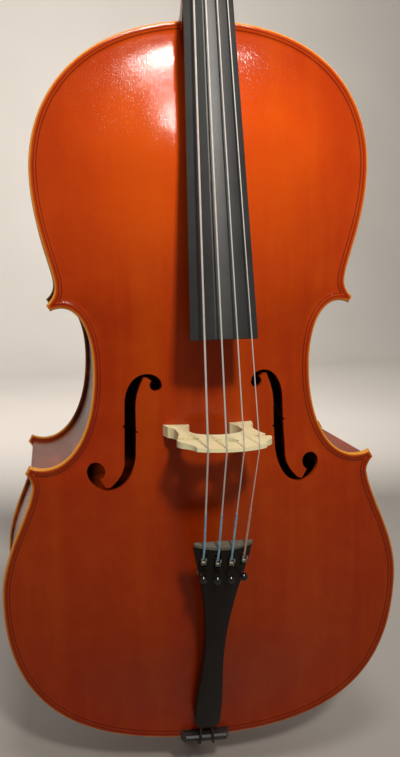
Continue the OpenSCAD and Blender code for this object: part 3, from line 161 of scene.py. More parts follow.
# %% Measure to the edge
def edge_distance(points, loop, chunk=4000):
    """Signed distance from each point to a closed loop of straight pieces, positive inside.

    It is the least distance to any piece. A point is inside if a line drawn from it to one side
    crosses the loop an odd number of times.
    """
    a, b = loop, np.roll(loop, -1, axis=0)
    ab = b - a
    length2 = np.maximum((ab**2).sum(1), 1e-12)
    out = np.empty(len(points))
    for i in range(0, len(points), chunk):
        p = points[i : i + chunk, None, :]
        t = np.clip(((p - a) * ab).sum(2) / length2, 0, 1)
        away = np.sqrt((((a + t[..., None] * ab) - p) ** 2).sum(2).min(1))
        h = p[..., 1]
        spans = (a[:, 1] > h) != (b[:, 1] > h)
        with np.errstate(divide="ignore", invalid="ignore"):
            x_cut = a[:, 0] + (h - a[:, 1]) * ab[:, 0] / ab[:, 1]
        inside = (spans & (p[..., 0] < x_cut)).sum(1) % 2 == 1
        out[i : i + chunk] = np.where(inside, away, -away)
    return out


deep = edge_distance(np.array([[0.0, LOWER_H]]), OUTLINE)[0]
print("the middle of the lower bout lies", round(deep, 1), "mm from the edge")

# %% [markdown]
# ## Arching
# Both plates are carved from thick wood into a shallow arch that ends in a hollow channel just inside
# the edge. The arch could be sculpted, or lofted over cross-sections, but every change would then
# mean new sections. A formula needs only the height of the crest. It asks how far a point lies on
# the way from the edge to the centre line, and lifts it by a half cosine of that share. The shares
# follow an outline whose corners are rounded off, as the arching of a real plate ignores them.

# %% Share of the way to the centre
SPINE = (LOWER_H - 24, UPPER_H - 4)  # the crest is straight between these heights
coarse = whole(half_outline(1))
near = np.arange(len(coarse))[:, None] + np.arange(-4, 5)
soft = coarse[near % len(coarse)].mean(axis=1)[: len(coarse) // 2 + 1]
widths = soft[1:-1]


def smooth(a, b, x):
    """0 below a, 1 above b, and an even S between them: t squared times (3 - 2t)."""
    t = np.clip((x - a) / (b - a), 0, 1)
    return t * t * (3 - 2 * t)


def share(p):
    """How far a point lies on the way from the outline (0) to the spine on the centre line (1).

    Beside the spine it is measured straight across, and past its ends along the line from the end.
    """
    x, h = np.abs(p[:, 0]), p[:, 1]
    out = 1 - x / np.interp(h, widths[:, 1], widths[:, 0])
    for end, sign in ((SPINE[0], -1), (SPINE[1], 1)):
        pts = soft[(soft[:, 1] - end) * sign >= 0]
        pts = np.vstack([pts, [[np.interp(end, widths[:, 1], widths[:, 0]), end]]])
        angle = np.arctan2((pts[:, 1] - end) * sign, pts[:, 0])
        reach = np.hypot(pts[:, 0], pts[:, 1] - end)
        order = np.argsort(angle)
        mine = (h - end) * sign > 0
        a = np.arctan2((h[mine] - end) * sign, x[mine])
        out[mine] = 1 - np.hypot(x[mine], h[mine] - end) / np.interp(a, angle[order], reach[order])
    return np.clip(out, 0, 1)


print("softened outline", round(2 * soft[:, 0].max(), 1), "mm at its widest")

# %% [markdown]
# ## Rim and channel
# The edge of a plate is rounded over, and beside its flat rim lies a hollow channel that is scooped
# out with a gouge. A bevel and a groove could be swept along the outline, but both would then have to
# be joined to the arch. Here one sum holds them all, and each part fades in over its own range of
# distances, so that no seam can show.

# %% Height of a plate
EDGE, CHANNEL, ROUND = 4.5, 1.3, 2.4  # edge thickness, channel depth, radius of the rounded edge
CHANNEL_FROM, CHANNEL_TO = 4.6, 9.5  # the surface sinks into the channel between these distances
ARCH_FROM, ARCH_TO = 5, 22  # and swells to the full arch between these
BRIDGE_H = 357.0  # where the arch is highest
SINK = 4  # how much lower the crest lies at both ends of the body


def plate_height(p, from_edge, from_rim, rise):
    """Height of a plate's outer surface above the ribs.

    It is the edge's thickness, less a quarter round at the rim and less the channel, plus the arch.
    The arch is a half cosine of the share, up to a crest that sinks by the square of the distance
    from the bridge.
    """
    t = np.clip((share(p) - 0.06) / 0.94, 0, 1) ** 0.85
    crest = rise - SINK * ((p[:, 1] - BRIDGE_H) / (BODY / 2)) ** 2
    arch = (crest - EDGE + CHANNEL) * (1 - np.cos(np.pi * t)) / 2
    rounding = ROUND * (1 - np.sqrt(1 - np.clip(1 - from_rim / ROUND, 0, 1) ** 2))
    channel = CHANNEL * smooth(CHANNEL_FROM, CHANNEL_TO, from_edge)
    return EDGE - rounding - channel + arch * smooth(ARCH_FROM, ARCH_TO, from_edge)


middle = np.array([[0.0, BRIDGE_H]])
deep = edge_distance(middle, OUTLINE)
print("a rise of 25 mm stands", round(plate_height(middle, deep, deep, 25.0)[0], 2), "mm high")

# %% [markdown]
# ## Shader helpers
# A material is a tree of nodes, which is usually drawn by hand in the shader editor. In a script
# each node takes several lines, so these helpers add one in a single line and pass on its output.
# They keep a finish short enough to read as a recipe.

# %% Add and join nodes
def add(tree, kind, settings=None, **inputs):
    """A node with its inputs set from numbers or linked from sockets.

    An input is named, or numbered as i0, i1 and so on where the names repeat.
    """
    node = tree.nodes.new(kind)
    for key, value in (settings or {}).items():
        setattr(node, key, value)
    for key, value in inputs.items():
        numbered = key[0] == "i" and key[1:].isdigit()
        socket = node.inputs[int(key[1:]) if numbered else key.replace("_", " ")]
        if isinstance(value, bpy.types.NodeSocket):
            tree.links.new(value, socket)
        else:
            socket.default_value = value
    return node


def math_node(tree, operation, a, b=0.0):
    """One arithmetic step on numbers or sockets."""
    return add(tree, "ShaderNodeMath", {"operation": operation}, i0=a, i1=b).outputs[0]


def plus(tree, a, b):
    """The sum of two numbers or sockets."""
    return math_node(tree, "ADD", a, b)


def times(tree, a, b):
    """The product of two numbers or sockets."""
    return math_node(tree, "MULTIPLY", a, b)


def opposite(tree, value):
    """1 less the value."""
    return math_node(tree, "SUBTRACT", 1.0, value)


def coordinate(tree, place, axis):
    """X, Y or Z of a place."""
    return add(tree, "ShaderNodeSeparateXYZ", None, Vector=place).outputs[axis]


print("helpers for nodes and sums")

# %% Mix, fade and scatter
def mix(tree, amount, a, b):
    """Colour between a and b; a colour is a socket, or its red, green and blue."""
    a, b = ((*color, 1) if isinstance(color, tuple) else color for color in (a, b))
    return add(tree, "ShaderNodeMix", {"data_type": "RGBA"}, i0=amount, i6=a, i7=b).outputs[2]


def tint(tree, color, mask, strength, tone):
    """Colour pulled towards a tone, by the strength where the mask is 1."""
    return mix(tree, times(tree, mask, strength), color, tone)


def ramp(tree, value, low, high):
    """0 below low, 1 above high, with an even S between."""
    return add(tree, "ShaderNodeMapRange", {"interpolation_type": "SMOOTHSTEP"}, Value=value,
               From_Min=low, From_Max=high).outputs[0]


def noise(tree, place, scale, detail=3.0, rough=0.5):
    """Soft random pattern between 0 and 1."""
    return add(tree, "ShaderNodeTexNoise", None, Vector=place, Scale=scale, Detail=detail,
               Roughness=rough).outputs["Fac"]


def stretched(tree, place, x, y, z):
    """The same place with its axes scaled, which makes a pattern fine along the larger ones."""
    return add(tree, "ShaderNodeMapping", None, Vector=place, Scale=(x, y, z)).outputs[0]


print("helpers for colours and noise")

# %% [markdown]
# ## Patterns
# Wood grain, the flame of curly maple, uneven varnish and the inlaid lines at the edge turn up in
# several finishes. Each could be built again in every material. A node group holds the pattern once,
# and puts out masks between 0 and 1 that each material colours in its own way. Noise squeezed along
# one axis gives fibres and bands, and plain noise gives clouds.

# %% Start the groups
def group(name, inputs, outputs, build):
    """A named node group of numbers; build(tree, sockets of the input) gives its outputs.

    Every group takes the place as Vector. The other inputs are names with their usual values.
    """
    tree = bpy.data.node_groups.new(name, "ShaderNodeTree")
    tree.interface.new_socket("Vector", in_out="INPUT", socket_type="NodeSocketVector")
    for key, value in inputs.items():
        socket = tree.interface.new_socket(key, in_out="INPUT", socket_type="NodeSocketFloat")
        socket.default_value = value
    for key in outputs:
        tree.interface.new_socket(key, in_out="OUTPUT", socket_type="NodeSocketFloat")
    inside = tree.nodes.new("NodeGroupInput")
    out = tree.nodes.new("NodeGroupOutput")
    for socket, result in zip(out.inputs, build(tree, inside.outputs)):
        tree.links.new(result, socket)
    print(name, "puts out", ", ".join(outputs))
    return tree


def use(tree, group_tree, **inputs):
    """An instance of a node group; returns its outputs."""
    return add(tree, "ShaderNodeGroup", {"node_tree": group_tree}, **inputs).outputs


def spruce_pattern(t, i):
    """Straight grain along z: thin late-wood lines, their spacing drifting slowly across the plate.

    The lines are a sawtooth over x, raised to the fourth power so that only its tips stay dark.
    """
    drift = noise(t, stretched(t, i["Vector"], 30, 2, 0.8), 1.0, 2.0)
    across = plus(t, times(t, coordinate(t, i["Vector"], "X"), i["Lines"]), times(t, drift, 5.0))
    line = math_node(t, "POWER", math_node(t, "FRACT", across), 4.0)
    fleck = noise(t, stretched(t, i["Vector"], 1400, 1400, 60), 1.0, 2.0)
    return [times(t, line, plus(t, fleck, 0.45)), fleck]


SPRUCE = group("spruce grain", {"Lines": 620.0}, ("Line", "Fleck"), spruce_pattern)

# %% [markdown]
# ## Flame and uneven varnish
# The fibres of curly maple wave, which shows as bands across the grain. Varnish lies in clouds, is
# thinner where hands have been, and sinks into the pores. All this could be painted on an image, but
# that would blur from close by. Noise at a few sizes, each stretched in its own way, stays sharp. The
# varnish group also puts out a painted shade: a ramp over the height that darkens towards the foot.

# %% Flame and varnish
def flame_pattern(t, i):
    """Curly maple: soft bands across the grain that fade in patches, with fine fibres along z."""
    wide = noise(t, stretched(t, i["Vector"], 9, 9, 95), 1.0, 2.0, 0.4)
    fibre = noise(t, stretched(t, i["Vector"], 900, 900, 25), 1.0, 2.0)
    patch = noise(t, i["Vector"], 7.0, 2.0)
    return [times(t, ramp(t, wide, 0.38, 0.66), ramp(t, patch, 0.35, 0.6)), fibre]


def varnish_and_shade_pattern(t, i):
    """Uneven varnish: broad clouds, small mottling, pores drawn out a little along z, and a painted shade.

    The painted shade, 1 at the foot of the body and 0 towards the neck, stands in for light falling off.
    """
    clouds = ramp(t, noise(t, i["Vector"], 5.5, 3.0, 0.55), 0.3, 0.72)
    mottle = noise(t, i["Vector"], 45.0, 4.0, 0.6)
    pores = noise(t, stretched(t, i["Vector"], 850, 850, 520), 1.0, 2.0, 0.65)
    # Painted shade: 1 below a height of 0.46 m and 0 above 0.73 m, standing in for light that falls off
    # down the body.
    depth = opposite(t, ramp(t, coordinate(t, i["Vector"], "Z"), 0.46, 0.73))
    return [clouds, mottle, pores, depth]


FLAME = group("maple flame", {}, ("Flame", "Fibre"), flame_pattern)
VARNISH_AND_SHADE = group("varnish wear and painted shade", {}, ("Cloud", "Mottle", "Pores", "Depth"), varnish_and_shade_pattern)

# %% [markdown]
# ## Lines and wear along the edge
# Purfling is two dark strips with a pale one between, let into a groove beside the edge to keep cracks
# from running in. Outside it the varnish is rubbed down to golden wood. The strips could be pieces of
# their own, but they are thinner than a millimetre and lie flush with the plate. Two narrow peaks over
# the distance to the edge draw them wherever the outline goes.

# %% Lines and wear along the edge
INLAY = (4.6, 7.4)  # distances of the two dark lines from the edge


def edging_pattern(t, i):
    """From the distance to the edge: two thin dark lines, the rubbed rim and a wide dark margin."""
    lines = []
    for inlay_at in INLAY:
        away = math_node(t, "ABSOLUTE", math_node(t, "SUBTRACT", i["Distance"], inlay_at))
        lines.append(opposite(t, ramp(t, away, 0.25, 0.75)))
    both = math_node(t, "MAXIMUM", *lines)
    worn = plus(t, i["Distance"], times(t, noise(t, i["Vector"], 60.0, 3.0), 1.2))
    rim = opposite(t, ramp(t, worn, 1.0, 3.4))
    margin = opposite(t, ramp(t, i["Distance"], 8.0, 85.0))
    return [both, rim, margin]


EDGING = group("edge lines", {"Distance": 10.0}, ("Lines", "Rim", "Margin"), edging_pattern)

# %% [markdown]
# ## Varnish
# The cello is coloured by its varnish: thin orange-red coats over pale wood, deeper where they lie
# thicker and rubbed to a golden line along the rim. The front is also painted darker towards its
# foot, a painted shade for the light that falls off down the body. Real layers could be built from
# glass over wood, which is slow to render and hard to steer. Here one shader takes a colour that is
# tinted step by step, as the maker lays the coats, and pores and mottling break up its gloss.

# %% Start and finish a material
def material(name, rough, metal=0.0, coat=0.0, specular=0.5, sheen=0.0):
    """A new material; returns it with its tree, its shader and the object coordinates."""
    mat = bpy.data.materials.new(name)
    mat.use_nodes = True
    tree = mat.node_tree
    shader = tree.nodes["Principled BSDF"]
    values = {"Roughness": rough, "Metallic": metal, "Coat Weight": coat, "Coat Roughness": 0.05,
              "Specular IOR Level": specular, "Sheen Weight": sheen}
    for key, value in values.items():
        shader.inputs[key].default_value = value
    return mat, tree, shader, tree.nodes.new("ShaderNodeTexCoord").outputs["Object"]


def finish_material(tree, shader, color, rough=None, height=None, depth=0.0002, strength=0.3):
    """Links a colour, a roughness and a bump height to the shader; depth is in metres."""
    tree.links.new(color, shader.inputs["Base Color"])
    if rough is not None:
        tree.links.new(rough, shader.inputs["Roughness"])
    if height is not None:
        bump = add(tree, "ShaderNodeBump", None, Strength=strength, Distance=depth, Height=height)
        tree.links.new(bump.outputs[0], shader.inputs["Normal"])


def edging(tree, place):
    """The edge lines, from the distance that is stored on the plate's points."""
    distance = add(tree, "ShaderNodeAttribute", {"attribute_name": "edge"}).outputs["Fac"]
    return use(tree, EDGING, Vector=place, Distance=distance)


print("helpers for materials")

# %% [markdown]
# ## Varnished front
# The front is spruce, whose grain shows through the coats as faint upright lines. One ramp of colours
# over the height would be a shorter recipe, but here each tint stands for one thing, such as the
# painted shade below, which stands in for light that falls off down the body, or the golden rim on
# the wood, and can be changed without the others.

# %% Varnished front
COAT_RED, COAT_ORANGE = (0.46, 0.042, 0.001), (0.6, 0.07, 0.001)
# The first colour on the next line is a painted shade, the tone that the front darkens to towards its
# foot.
PAINTED_SHADE_RED, COAT_MARGIN = (0.3, 0.024, 0.001), (0.3, 0.017, 0.001)
COAT_THIN, COAT_BAND = (0.6, 0.09, 0.003), (0.56, 0.095, 0.002)
GRAIN_BROWN, RIM_GOLD, INLAY_DARK = (0.16, 0.01, 0.001), (0.9, 0.38, 0.04), (0.06, 0.006, 0.002)


def varnished_spruce():
    """Varnish over spruce in faint upright bands, darker and redder along the margin, and painted shade
    below.
    """
    mat, t, shader, place = material("spruce_top", rough=0.3, specular=0.25)
    grain = use(t, SPRUCE, Vector=place)
    wear_and_shade = use(t, VARNISH_AND_SHADE, Vector=place)
    edge = edging(t, place)
    bands = ramp(t, noise(t, stretched(t, place, 24, 24, 1.8), 1.0, 4.0, 0.6), 0.4, 0.68)
    color = mix(t, wear_and_shade["Cloud"], COAT_RED, COAT_ORANGE)
    # Painted shade: the colour darkens towards the foot of the body.
    color = tint(t, color, wear_and_shade["Depth"], 0.85, PAINTED_SHADE_RED)
    color = tint(t, color, edge["Margin"], 0.45, COAT_MARGIN)
    color = tint(t, color, ramp(t, wear_and_shade["Mottle"], 0.35, 0.75), 0.12, COAT_THIN)
    color = tint(t, color, bands, 0.2, COAT_BAND)
    color = tint(t, color, grain["Line"], 0.16, GRAIN_BROWN)
    color = tint(t, color, edge["Rim"], 0.85, RIM_GOLD)
    color = tint(t, color, edge["Lines"], 0.7, INLAY_DARK)
    speckle = times(t, ramp(t, wear_and_shade["Pores"], 0.42, 0.7), 0.16)
    rough = plus(t, plus(t, 0.05, times(t, wear_and_shade["Mottle"], 0.07)), speckle)
    height = plus(t, times(t, grain["Line"], 0.3), wear_and_shade["Pores"])
    finish_material(t, shader, color, rough, height, 0.0005, 0.25)
    return mat


TOP = varnished_spruce()
print(TOP.name, "has", len(TOP.node_tree.nodes), "nodes")

# %% [markdown]
# ## Flamed maple
# Back, ribs and neck are curly maple, whose wavy fibres show as bands under the varnish and shift as
# the light moves. Shading along the fibres would make them shift, but it needs directions on every
# solid. Bands of two tones look the same from the front and fit any solid. Only the back has inlaid
# lines, so they are switched on for it alone.

# %% Varnished back, ribs and neck
FLAME_DARK, FLAME_LIGHT = (0.11, 0.01, 0.002), (0.4, 0.05, 0.004)
BACK_RIM, BACK_INLAY = (0.85, 0.36, 0.04), (0.045, 0.006, 0.002)


def varnished_maple(name, edged=False):
    """The same varnish over curly maple, darker and redder between the bands."""
    mat, t, shader, place = material(name, rough=0.26, specular=0.35)
    flame = use(t, FLAME, Vector=place)
    wear_and_shade = use(t, VARNISH_AND_SHADE, Vector=place)
    color = mix(t, flame["Flame"], FLAME_DARK, FLAME_LIGHT)
    color = tint(t, color, wear_and_shade["Cloud"], 0.45, FLAME_LIGHT)
    color = tint(t, color, ramp(t, flame["Fibre"], 0.5, 0.8), 0.25, FLAME_DARK)
    if edged:
        edge = edging(t, place)
        color = tint(t, color, edge["Rim"], 0.8, BACK_RIM)
        color = tint(t, color, edge["Lines"], 0.8, BACK_INLAY)
    rough = plus(t, 0.18, times(t, wear_and_shade["Mottle"], 0.14))
    finish_material(t, shader, color, rough, wear_and_shade["Pores"], 0.0004, 0.15)
    return mat


MAPLE = varnished_maple("maple_body")
BACK = varnished_maple("maple_back", edged=True)
print(BACK.name, "has", len(BACK.node_tree.nodes), "nodes")

# %% [markdown]
# ## Plain woods
# The fingerboard and pegs are ebony, oiled rather than varnished, the bridge is bare maple, and the
# inside is bare spruce. They differ only in two tones, in how close their grain is and in how much
# they shine, so one recipe makes them all. Separate materials would be easier to tune one by one,
# but they would repeat the same nodes.

# %% Oiled and bare woods
def plain_wood(name, dark, light, rough, lines, depth=0.0002, coat=0.0):
    """Straight-grained wood of two tones, with fine flecks along z; lines is grain lines a metre."""
    mat, t, shader, place = material(name, rough=rough, coat=coat)
    grain = use(t, SPRUCE, Vector=place, Lines=lines)
    color = mix(t, ramp(t, noise(t, place, 18.0, 3.0), 0.3, 0.7), dark, light)
    color = tint(t, color, grain["Line"], 0.5, dark)
    color = tint(t, color, ramp(t, grain["Fleck"], 0.55, 0.8), 0.3, dark)
    rough_map = plus(t, rough - 0.06, times(t, grain["Fleck"], 0.14))
    finish_material(t, shader, color, rough_map, grain["Fleck"], depth, 0.2)
    return mat


BARE = plain_wood("bare_spruce", (0.5, 0.34, 0.17), (0.72, 0.55, 0.32), 0.7, 500.0)
EBONY = plain_wood("ebony_board", (0.01, 0.01, 0.009), (0.022, 0.022, 0.022), 0.48, 900.0, 0.0001)
DARK = plain_wood("dark_wood", (0.012, 0.008, 0.007), (0.03, 0.02, 0.016), 0.4, 900.0, 0.0001, 0.05)
PALE = plain_wood("bridge_maple", (0.9, 0.77, 0.42), (0.97, 0.93, 0.58), 0.5, 300.0)
print("woods:", BARE.name, EBONY.name, DARK.name, PALE.name)

# %% [markdown]
# ## Metal, rubber and moulded pieces
# The tailpiece is moulded, the tuners have blackened heads and steel screws, and the endpin stands
# on a rubber foot. Up close none of them is one even colour. An image texture could show that, but it
# would need a flat map for each small solid. A fine speckle over a broad one follows any form
# without a map.

# %% Speckled finishes
def speckled(name, dark, light, rough, metal=0.0, specular=0.5, scale=900.0, depth=0.0001, strength=0.2):
    """A fine even speckle, mixed half and half with one that is 25 times as broad."""
    mat, t, shader, place = material(name, rough=rough, metal=metal, specular=specular)
    fine = noise(t, place, scale, 2.0)
    broad = noise(t, place, scale / 25, 3.0)
    both = plus(t, times(t, fine, 0.5), times(t, broad, 0.5))
    color = mix(t, ramp(t, both, 0.3, 0.7), dark, light)
    rough_map = plus(t, rough - 0.05, times(t, broad, 0.12))
    finish_material(t, shader, color, rough_map, fine, depth, strength)
    return mat


TAIL = speckled("black_tailpiece", (0.008, 0.006, 0.004), (0.016, 0.011, 0.007), 0.45, specular=0.2)
FRET = speckled("grey_fret", (0.1, 0.1, 0.075), (0.19, 0.18, 0.14), 0.45)
STEEL = speckled("steel", (0.35, 0.35, 0.36), (0.55, 0.55, 0.56), 0.3, metal=1.0)
HEADS = speckled("black_heads", (0.006, 0.006, 0.006), (0.014, 0.014, 0.014), 0.2)
BRASS = speckled("brass", (0.12, 0.125, 0.095), (0.26, 0.26, 0.2), 0.45, metal=0.9)
RUBBER = speckled("rubber", (0.012, 0.012, 0.012), (0.03, 0.03, 0.03), 0.75, scale=700.0,
                  depth=0.0003, strength=0.4)
print("speckled:", TAIL.name, FRET.name, STEEL.name, HEADS.name, BRASS.name, RUBBER.name)

# %% [markdown]
# ## Strings and silks
# A cello string is a core wound with fine ribbon, and its ends are wound with coloured silk. The
# windings could be modelled as a helix, but thousands of turns would be too many faces for what is
# thinner than a hair. All strings run close to z, so bands across z look the same and cost nothing.
# The silk of the highest string has another colour, and its place across the body tells it apart.

# %% Wound finishes
LAST_SILK_X = (0.0125, 0.0135)  # metres; the highest string's silk lies beyond these


def wound(name, dark, light, turns, rough, metal=0.0, sheen=0.0, bump=0.5, last=None):
    """Bands across the length, in waves that rise and fall evenly; turns is how many a metre.

    last is another pair of tones for the highest string.
    """
    mat, t, shader, place = material(name, rough=rough, metal=metal, sheen=sheen)
    wave = math_node(t, "PINGPONG", times(t, coordinate(t, place, "Z"), turns), 0.5)
    band = times(t, wave, 2.0)
    patch = noise(t, place, 150.0, 2.0)
    amount = times(t, band, ramp(t, patch, 0.2, 0.7))
    color = mix(t, amount, dark, light)
    if last:
        beyond = ramp(t, coordinate(t, place, "X"), *LAST_SILK_X)
        color = mix(t, beyond, color, mix(t, amount, *last))
    rough_map = plus(t, rough - 0.05, times(t, patch, 0.12))
    finish_material(t, shader, color, rough_map, band, 0.0001, bump)
    return mat


CORD = wound("black_cord", (0.008, 0.008, 0.008), (0.03, 0.03, 0.03), 900.0, 0.6)
WIRE = wound("string_steel", (0.78, 0.75, 0.69), (0.92, 0.9, 0.85), 2200.0, 0.34, metal=0.6, bump=0.12)
SILK = wound("blue_silk", (0.14, 0.31, 0.44), (0.36, 0.6, 0.72), 1600.0, 0.55, sheen=0.3,
             last=((0.45, 0.23, 0.13), (0.7, 0.45, 0.3)))
print("wound:", CORD.name, WIRE.name, SILK.name)

# %% [markdown]
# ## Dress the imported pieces
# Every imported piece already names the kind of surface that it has. The finishes could be handed out
# piece by piece, but a table from kind to finish dresses a new peg or tuner without a new line.

# %% Hand out the finishes
DRESS = {
    "bare_spruce": BARE, "fingerboard_ebony": EBONY, "dark_wood": DARK, "bridge_maple": PALE,
    "black_tailpiece": TAIL, "grey_fret": FRET, "cord_black": CORD, "steel": STEEL, "black_heads": HEADS,
    "string_steel": WIRE, "brass": BRASS, "blue_silk": SILK, "rubber": RUBBER, "maple_body": MAPLE,
    "spruce_top": TOP,
}
for part in frame["record"]["subparts"]:
    for material_slot in nodes[part["node"]].material_slots:
        material_slot.material = DRESS[part["material_slot"]]

# %% [markdown]
# ## Sound holes
# A sound hole is a long slanted slot between two round eyes, with a small notch at each side that
# marks where the bridge stands. It could be cut out of the finished plate with a Boolean, which
# leaves long thin triangles that show in the gloss. Drawn as loops in the flat, the holes are simply
# left out when the plate's surface is divided into triangles.

# %% Draw the sound holes
UPPER_EYE, LOWER_EYE = (52.0, 402.5, 6.0), (114.0, 313.0, 9.3)  # x, h and radius
STEM = (UPPER_EYE[0] + LOWER_EYE[0]) / 2 - 10.8  # x of the slot's inner side
STEM_WIDTH = 11


def sound_slot():
    """The slot of the treble side's sound hole, from the upper eye to the lower eye and back."""
    (ux, uh, ur), (lx, lh, lr), a, b = UPPER_EYE, LOWER_EYE, STEM, STEM + STEM_WIDTH
    return np.vstack([
        bezier([(ux - ur, uh - 1), (ux - ur, uh + 7), (ux, uh + 11.5), (ux + 8, uh + 11.5)], 16),
        bezier([(ux + 8, uh + 11.5), (ux + 19, uh + 11.5), (b, uh + 1), (b, uh - 23)], 24),
        [(b + 0.5, BRIDGE_H + 4), (b + 3, BRIDGE_H + 2.5), (b + 0.6, BRIDGE_H + 1)],
        bezier([(b + 1.7, lh + 8.5), (b + 2.7, lh - 1.5), (lx - 21, lh - 10.5), (lx - 13.5, lh - 17)], 20),
        [(lx - 10, lh - 17.1), (lx - 3.3, lh - 7), (lx + lr - 0.1, lh)],
        bezier([(lx + lr, lh - 0.5), (lx + lr, lh - 11), (lx - 2, lh - 20), (lx - 11.5, lh - 20)], 20),
        bezier([(lx - 11.5, lh - 20), (lx - 25, lh - 20), (a + 3.3, lh - 8), (a + 0.6, lh + 20.5)], 24),
        [(a + 0.2, BRIDGE_H - 4.2), (a - 2.6, BRIDGE_H - 3), (a + 0.1, BRIDGE_H - 1.8)],
        bezier([(a, uh - 23), (a - 0.2, uh - 9), (a - 6, uh + 2), (ux + 11.5, uh + 8.5)], 20),
        [(ux + 8.5, uh + 7.7), (ux + 4, uh + 4.3)],
    ])


def circle(x, h, r, steps=40):
    """A closed ring of points: the centre plus the radius times cosine and sine."""
    a = np.linspace(0, 2 * np.pi, steps, endpoint=False)
    return np.column_stack([x + r * np.cos(a), h + r * np.sin(a)])


hole_loops = (sound_slot(), circle(*UPPER_EYE), circle(*LOWER_EYE))
sound_holes = [loop * (side, 1) for loop in hole_loops for side in (1, -1)]
print(len(sound_holes), "loops for the two sound holes")

# %% [markdown]
# ## Points of a plate
# A plate is nearly flat over its arch, but it curves sharply at its rim and corners. An even grid
# that is fine enough for the rim would have far more points than the arch needs. So the points lie
# in rings that follow the edge, in a small fine grid at each corner, and in a wide grid over the rest.

# %% Helpers for scattering
CORNER_REACH = 24  # the fine grid of a corner ends here
TIPS = np.array([(s * x, h) for s in (1, -1) for x, h in (LOW_CORNER, UP_CORNER)])


def normals(loop):
    """Unit normals that point into an anticlockwise loop: its direction turned by a quarter."""
    direction = np.roll(loop, -1, axis=0) - np.roll(loop, 1, axis=0)
    direction /= np.linalg.norm(direction, axis=1)[:, None]
    return np.column_stack([-direction[:, 1], direction[:, 0]])


def lattice(step, low, high):
    """A square grid of points over a rectangle."""
    x, h = np.meshgrid(np.arange(low[0], high[0], step), np.arange(low[1], high[1], step))
    return np.column_stack([x.ravel(), h.ravel()])


def far_from_tips(points):
    """Which points lie outside the reach of every corner."""
    return np.sqrt(((points[:, None] - TIPS) ** 2).sum(2)).min(1) > CORNER_REACH


print(len(TIPS), "corners")

# %% Scatter points over a plate
RINGS = (0.12, 0.45, 0.95, 1.6, 2.4, 3.5, 4.7, 5.9, 7.1, 8.4, 9.8, 11.4, 13.2, 15.2)
WIDE_STEP, WIDE_FROM = 3.6, 17  # step of the wide grid, and where it starts
CORNER_STEP, CORNER_FROM = 1.1, 0.35
HOLE_CLEAR = 1.2  # no scattered point lies nearer to a hole's edge


def scatter(loop, holes):
    """Points inside the outline, dense where the form is fine, and clear of the holes' edges.

    A ring is the outline moved in along its normals, without the points that come too near to
    another stretch of the edge.
    """
    inward = normals(loop)
    kept = []
    for d in RINGS:
        ring = loop + inward * d
        at_depth = np.abs(edge_distance(ring, loop) - d) < 0.05 + 0.03 * d
        kept.append(ring[far_from_tips(ring) & at_depth])
    grid = lattice(WIDE_STEP, (-220, 2), (220, BODY))
    grid = grid[far_from_tips(grid)]
    kept.append(grid[edge_distance(grid, loop) > WIDE_FROM])
    for tip in TIPS:
        fine = lattice(CORNER_STEP, tip - CORNER_REACH - 1, tip + CORNER_REACH + 1)
        fine = fine[~far_from_tips(fine)]
        kept.append(fine[edge_distance(fine, loop) > CORNER_FROM])
    points = np.vstack(kept)
    for hole in holes:
        points = points[np.abs(edge_distance(points, hole)) > HOLE_CLEAR]
    return points


print(len(RINGS), "rings, the last", RINGS[-1], "mm from the edge")

# %% [markdown]
# ## From points to a piece
# A mesh is a list of points and a list of faces over them. It could be built face by face with
# Blender's editing tools, but whole arrays are quicker and keep the formula in sight. Each new piece
# rides on the body that it belongs to, and takes the place of its coarse solid.

# %% Turn points and faces into a piece
def make(name, points, faces, finish, slot, node, smooth_below=40, **layers):
    """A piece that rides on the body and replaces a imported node.

    Points are in millimetres, and layers are one number per point.
    """
    mesh = bpy.data.meshes.new(name)
    mesh.from_pydata((np.asarray(points) / 1000).tolist(), [], faces)
    mesh.validate()
    for key, values in layers.items():
        layer = mesh.attributes.new(key, "FLOAT", "POINT")
        layer.data.foreach_set("value", np.asarray(values, np.float32))
    mesh.polygons.foreach_set("use_smooth", np.ones(len(mesh.polygons), bool))
    mesh.set_sharp_from_angle(angle=math.radians(smooth_below))
    obj = bpy.data.objects.new(name, mesh)
    bpy.context.scene.collection.objects.link(obj)
    mesh.materials.append(finish)
    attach(obj, "cello")
    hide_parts(node)
    print(name, "has", len(mesh.vertices), "points and", len(mesh.polygons), "faces")
    return obj


# %% [markdown]
# ## Top and back plates
# Front and back are thin shells, glued to the ribs along their rims. A triangulation that keeps given
# lines joins the scattered points in the flat, the height formula lifts them, and a second sheet a few
# millimetres further in closes the shell. A Solidify modifier would do that too, but its thickness
# would not thin out towards the glued rim.

# %% Join the points into triangles
def triangles_over(points, solids, cuts):
    """Points and triangles that cover the solid loops and leave out the cuts.

    A triangle stays if its centre lies in a solid and in no cut.
    """
    coords, edges, start = [points], [], len(points)
    for loop in solids + cuts:
        n = len(loop)
        edges += [(start + i, start + (i + 1) % n) for i in range(n)]
        coords.append(loop)
        start += n
    flat, _, tris, *_ = delaunay_2d_cdt([Vector(p) for p in np.vstack(coords)], edges, [], 0, 1e-4)
    flat, tris = np.array([p[:] for p in flat]), np.array(tris)
    centre = flat[tris].mean(1)
    keep = np.max([edge_distance(centre, loop) for loop in solids], axis=0) > 0
    for loop in cuts:
        keep &= edge_distance(centre, loop) < 0
    used, tris = np.unique(tris[keep], return_inverse=True)
    return flat[used], tris.reshape(-1, 3)


